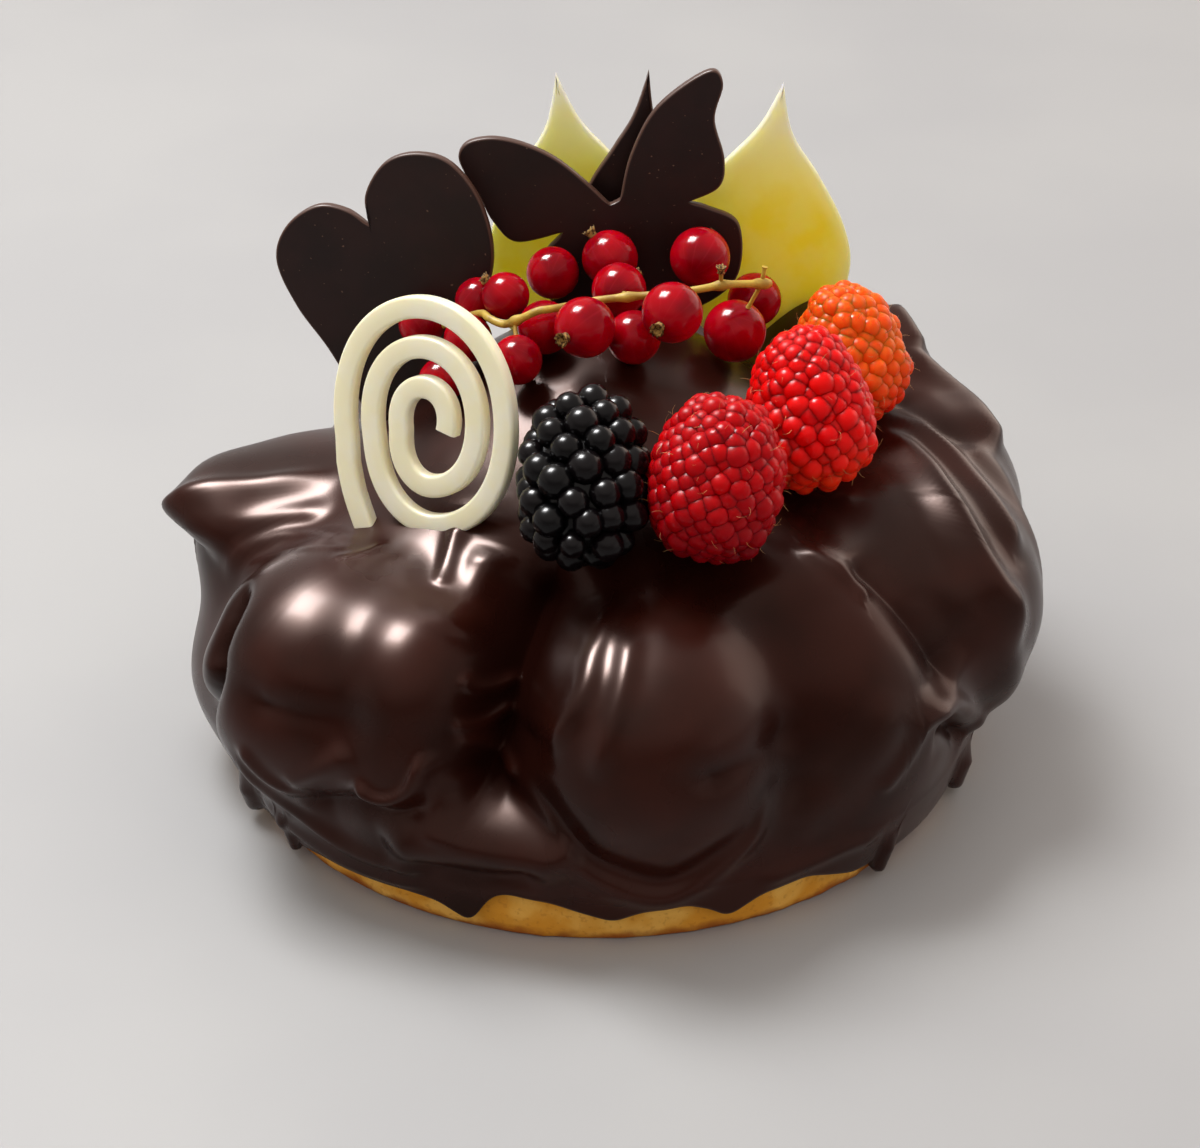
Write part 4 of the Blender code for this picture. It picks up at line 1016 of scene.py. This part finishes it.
def currant_skin(tree):
    """A thin clear skin over red jelly: glassy, with a deep glow from inside and faint veins along it."""
    place = add(tree, "ShaderNodeAttribute", attribute_name="berry_place", out="Vector")
    across, along = (add(tree, "ShaderNodeSeparateXYZ", (place,), out=axis) for axis in "XY")
    turn = add(tree, MATH, (along, across), operation="ARCTAN2")
    veins = add(tree, MATH, (turn, VEINS / 2), operation="MULTIPLY")
    line = add(tree, MATH, (add(tree, MATH, (veins,), operation="SINE"),), operation="ABSOLUTE")
    vein = add(tree, MAP, (line, 0.96, 1.0, 0.0, 0.1), interpolation_type="SMOOTHSTEP")
    shadows = CURRANT_RADIUS / SEED_SHADOW      # the place is counted in the berry's own radii
    seeds = add(tree, NOISE, {"Vector": place, "Scale": shadows, "Detail": 0.0}, out="Fac")
    seen = add(tree, MAP, (seeds, 0.35, 0.65), interpolation_type="SMOOTHSTEP")
    flesh = add(tree, MIX, {"Factor": seen, "A": "#880012", "B": "#A80216"}, data_type="RGBA")
    veined = add(tree, MIX, {"Factor": vein, "A": flesh, "B": "#C43044"}, data_type="RGBA")
    shade(tree, Base_Color=veined, Roughness=0.16, IOR=1.4, Specular_IOR_Level=0.08, Coat_Weight=0.18,
          Coat_Roughness=0.04, Subsurface_Weight=1.0, Subsurface_Scale=5.0 * MM,
          Subsurface_Radius=(1.0, 0.05, 0.07))


def dried_flower(tree):
    """Withered sepals, dried on the berry: papery and dull, brown and straw coloured in small patches."""
    shade(tree, Base_Color=mottled(tree, "#4A3018", "#B08A4A", 0.5, 0.0, 1.0, (0.4, 0.6)), Roughness=0.8,
          Specular_IOR_Level=0.2, Normal=unevenness(tree, 0.3, 0.1, 0.8))


def green_stem(tree):
    """Bark of a young currant stem: finely wrinkled with a faint sheen, yellow green, browner in patches."""
    shade(tree, Base_Color=mottled(tree, "#A8862A", "#C8A93C", 3.0), Roughness=0.55, Specular_IOR_Level=0.35,
          Normal=unevenness(tree, 0.6, 0.12, 0.7))


def bramble_skin(tree):
    """The skin of a ripe bramble's drupelets: taut and blue black, no two quite alike, with a clear gloss."""
    tone = add(tree, "ShaderNodeAttribute", attribute_name="tone", out="Fac")
    black = add(tree, MIX, {"Factor": tone, "A": "#040405", "B": "#0C0709"}, data_type="RGBA")
    shade(tree, Base_Color=black, Roughness=0.26, Specular_IOR_Level=0.14, Coat_Weight=0.1,
          Coat_Roughness=0.08, Normal=unevenness(tree, 1.4, 0.05, 0.4))


def raspberry_skin(tree, low_colour, high_colour, turns_from, turns_to, tired, glow=1.6):
    """Soft drupelets full of juice: light passes through them, and they shine where they are wet. The colour
    turns with height as the berry ripened. On the dark raspberry its foot is also painted much darker, as
    painted shade. Glow is how far light gets in it, in millimetres."""
    tone = add(tree, "ShaderNodeAttribute", attribute_name="tone", out="Fac")
    # the colour turns with height: ripening, and on the dark raspberry also painted shade towards its foot
    ripeness_and_shade = climb(tree, turns_from, turns_to, 4.0, 9.0)
    ripe = add(tree, MIX, {"Factor": ripeness_and_shade, "A": low_colour, "B": high_colour}, data_type="RGBA")
    share = add(tree, MATH, (tone, 0.5), operation="MULTIPLY")
    mixed = add(tree, MIX, {"Factor": share, "A": ripe, "B": tired}, data_type="RGBA")
    shade(tree, Base_Color=mixed, Roughness=patches(tree, 6, 0.2, 0.4), Specular_IOR_Level=0.1,
          Subsurface_Weight=1.0, Subsurface_Scale=glow * MM, Subsurface_Radius=(1.0, 0.08, 0.06),
          Normal=unevenness(tree, 0.9, 0.08, 0.4))


def straw_hair(tree):
    """Dry styles, the hairs that stay on a berry: matt, from brown to pale straw."""
    shade(tree, Base_Color=mottled(tree, "#B4702E", "#DDB070", 4.0), Roughness=0.6)


def pale_floor(tree):
    """Matt laminate, pressed smooth: an even pale grey with hardly any clouding."""
    shade(tree, Base_Color=mottled(tree, "#A6A7A8", "#ABACAC", 120), Roughness=0.6, Specular_IOR_Level=0.3)


# ---------------------------------------------------------------- light and camera
def add_lamp(name, place, size, power, tint, only_gloss):
    """A flat lamp that faces the cake. It may light nothing, and only show in the gloss."""
    lamp = bpy.data.lights.new(name, "AREA")
    lamp.shape = "RECTANGLE"
    lamp.size, lamp.size_y = size
    lamp.energy = power
    lamp.color = colour(tint)[:3]
    thing = put_in_scene(name, lamp)
    thing.location = place
    thing.visible_diffuse = not only_gloss
    thing.rotation_mode = "QUATERNION"
    thing.rotation_quaternion = (Vector(place) - Vector(LAMPS_FACE)).to_track_quat("Z", "Y")


def light_room():
    """A soft room: pale overhead, behind and at the sides, and darker towards the front."""
    world = bpy.data.worlds.new("soft_room")
    bpy.context.scene.world = world
    world.use_nodes = True
    tree = world.node_tree
    way = add(tree, "ShaderNodeTexCoord", out="Generated")
    brightest = 0.0
    for axis, far, strengths in ROOM:
        along = add(tree, "ShaderNodeSeparateXYZ", (way,), out=axis)
        part = add(tree, MAP, (along, *far, *strengths), interpolation_type="SMOOTHSTEP")
        brightest = add(tree, MATH, (part, brightest), operation="MAXIMUM")
    fill(tree, tree.nodes["Background"], {"Color": "#F6ECE6", "Strength": brightest})


def set_stage():
    corners = [(x * FLOOR_HALF, y * FLOOR_HALF, 0) for x, y in ((-1, -1), (1, -1), (1, 1), (-1, 1))]
    new_piece("floor", corners, [(0, 1, 2, 3)], finish("pale_floor", pale_floor))
    for name, values in LAMPS.items():
        add_lamp(name, *values)
    light_room()
    lens = bpy.data.cameras.new("camera")
    lens.sensor_width = CAMERA_SENSOR
    lens.lens = CAMERA_LENS
    camera = put_in_scene("camera", lens)
    camera.location = CAMERA_PLACE
    camera.rotation_euler = (math.radians(CAMERA_TILT), 0.0, 0.0)
    bpy.context.scene.camera = camera
    bpy.context.scene.view_settings.view_transform = "Standard"


# ---------------------------------------------------------------- the whole
# each berry's material: its name, its look and the look's values
SKINS = {
    "bramble": ("ripe_bramble_skin", bramble_skin),
    # painted shade: the dark raspberry's foot colour is a near black red, far darker than its top
    "raspberry_1": ("dark_raspberry_skin", raspberry_skin, "#62010C", "#C4030B", 66, 86, "#980210"),
    "raspberry_2": ("red_raspberry_skin", raspberry_skin, "#F23410", "#E8070D", 70, 82, "#EE160E"),
    "raspberry_3": ("orange_raspberry_skin", raspberry_skin, "#F4200C", "#FF6A14", 70, 86, "#FF4410", 0.9),
}


def main():
    dress(build_base(finish("golden_shortcrust", baked_crust)), "golden_pastry", "pastry_base")
    dress(build_glaze(finish("poured_dark_chocolate", poured_chocolate)), "chocolate_glaze", "glazed_puffs")
    plaque_finishes = {
        "dark_chocolate": finish("moulded_dark_chocolate", moulded_chocolate),
        "yellow_chocolate": finish("yellow_white_chocolate", coloured_chocolate),
    }
    for name, values in PLAQUES.items():
        dress(build_plaque(name, plaque_finishes[values[-1]]), values[-1], name)
    dress(build_spiral(finish("white_chocolate", piped_chocolate)), "white_chocolate", "white_spiral")
    build_currants(finish("redcurrant_skin", currant_skin), finish("withered_sepals", dried_flower))
    dress(build_stalk(finish("young_stem", green_stem)), "stem", "currant_stalk")
    hair, straw = build_hair(), finish("dry_styles", straw_hair)
    for seed, (name, values) in enumerate(DRUPE_BERRIES.items()):
        dress(build_drupe_berry(name, finish(*SKINS[name]), straw, hair, seed), values[-1], name)
    bpy.data.objects.remove(hair, do_unlink=True)
    set_stage()


main()
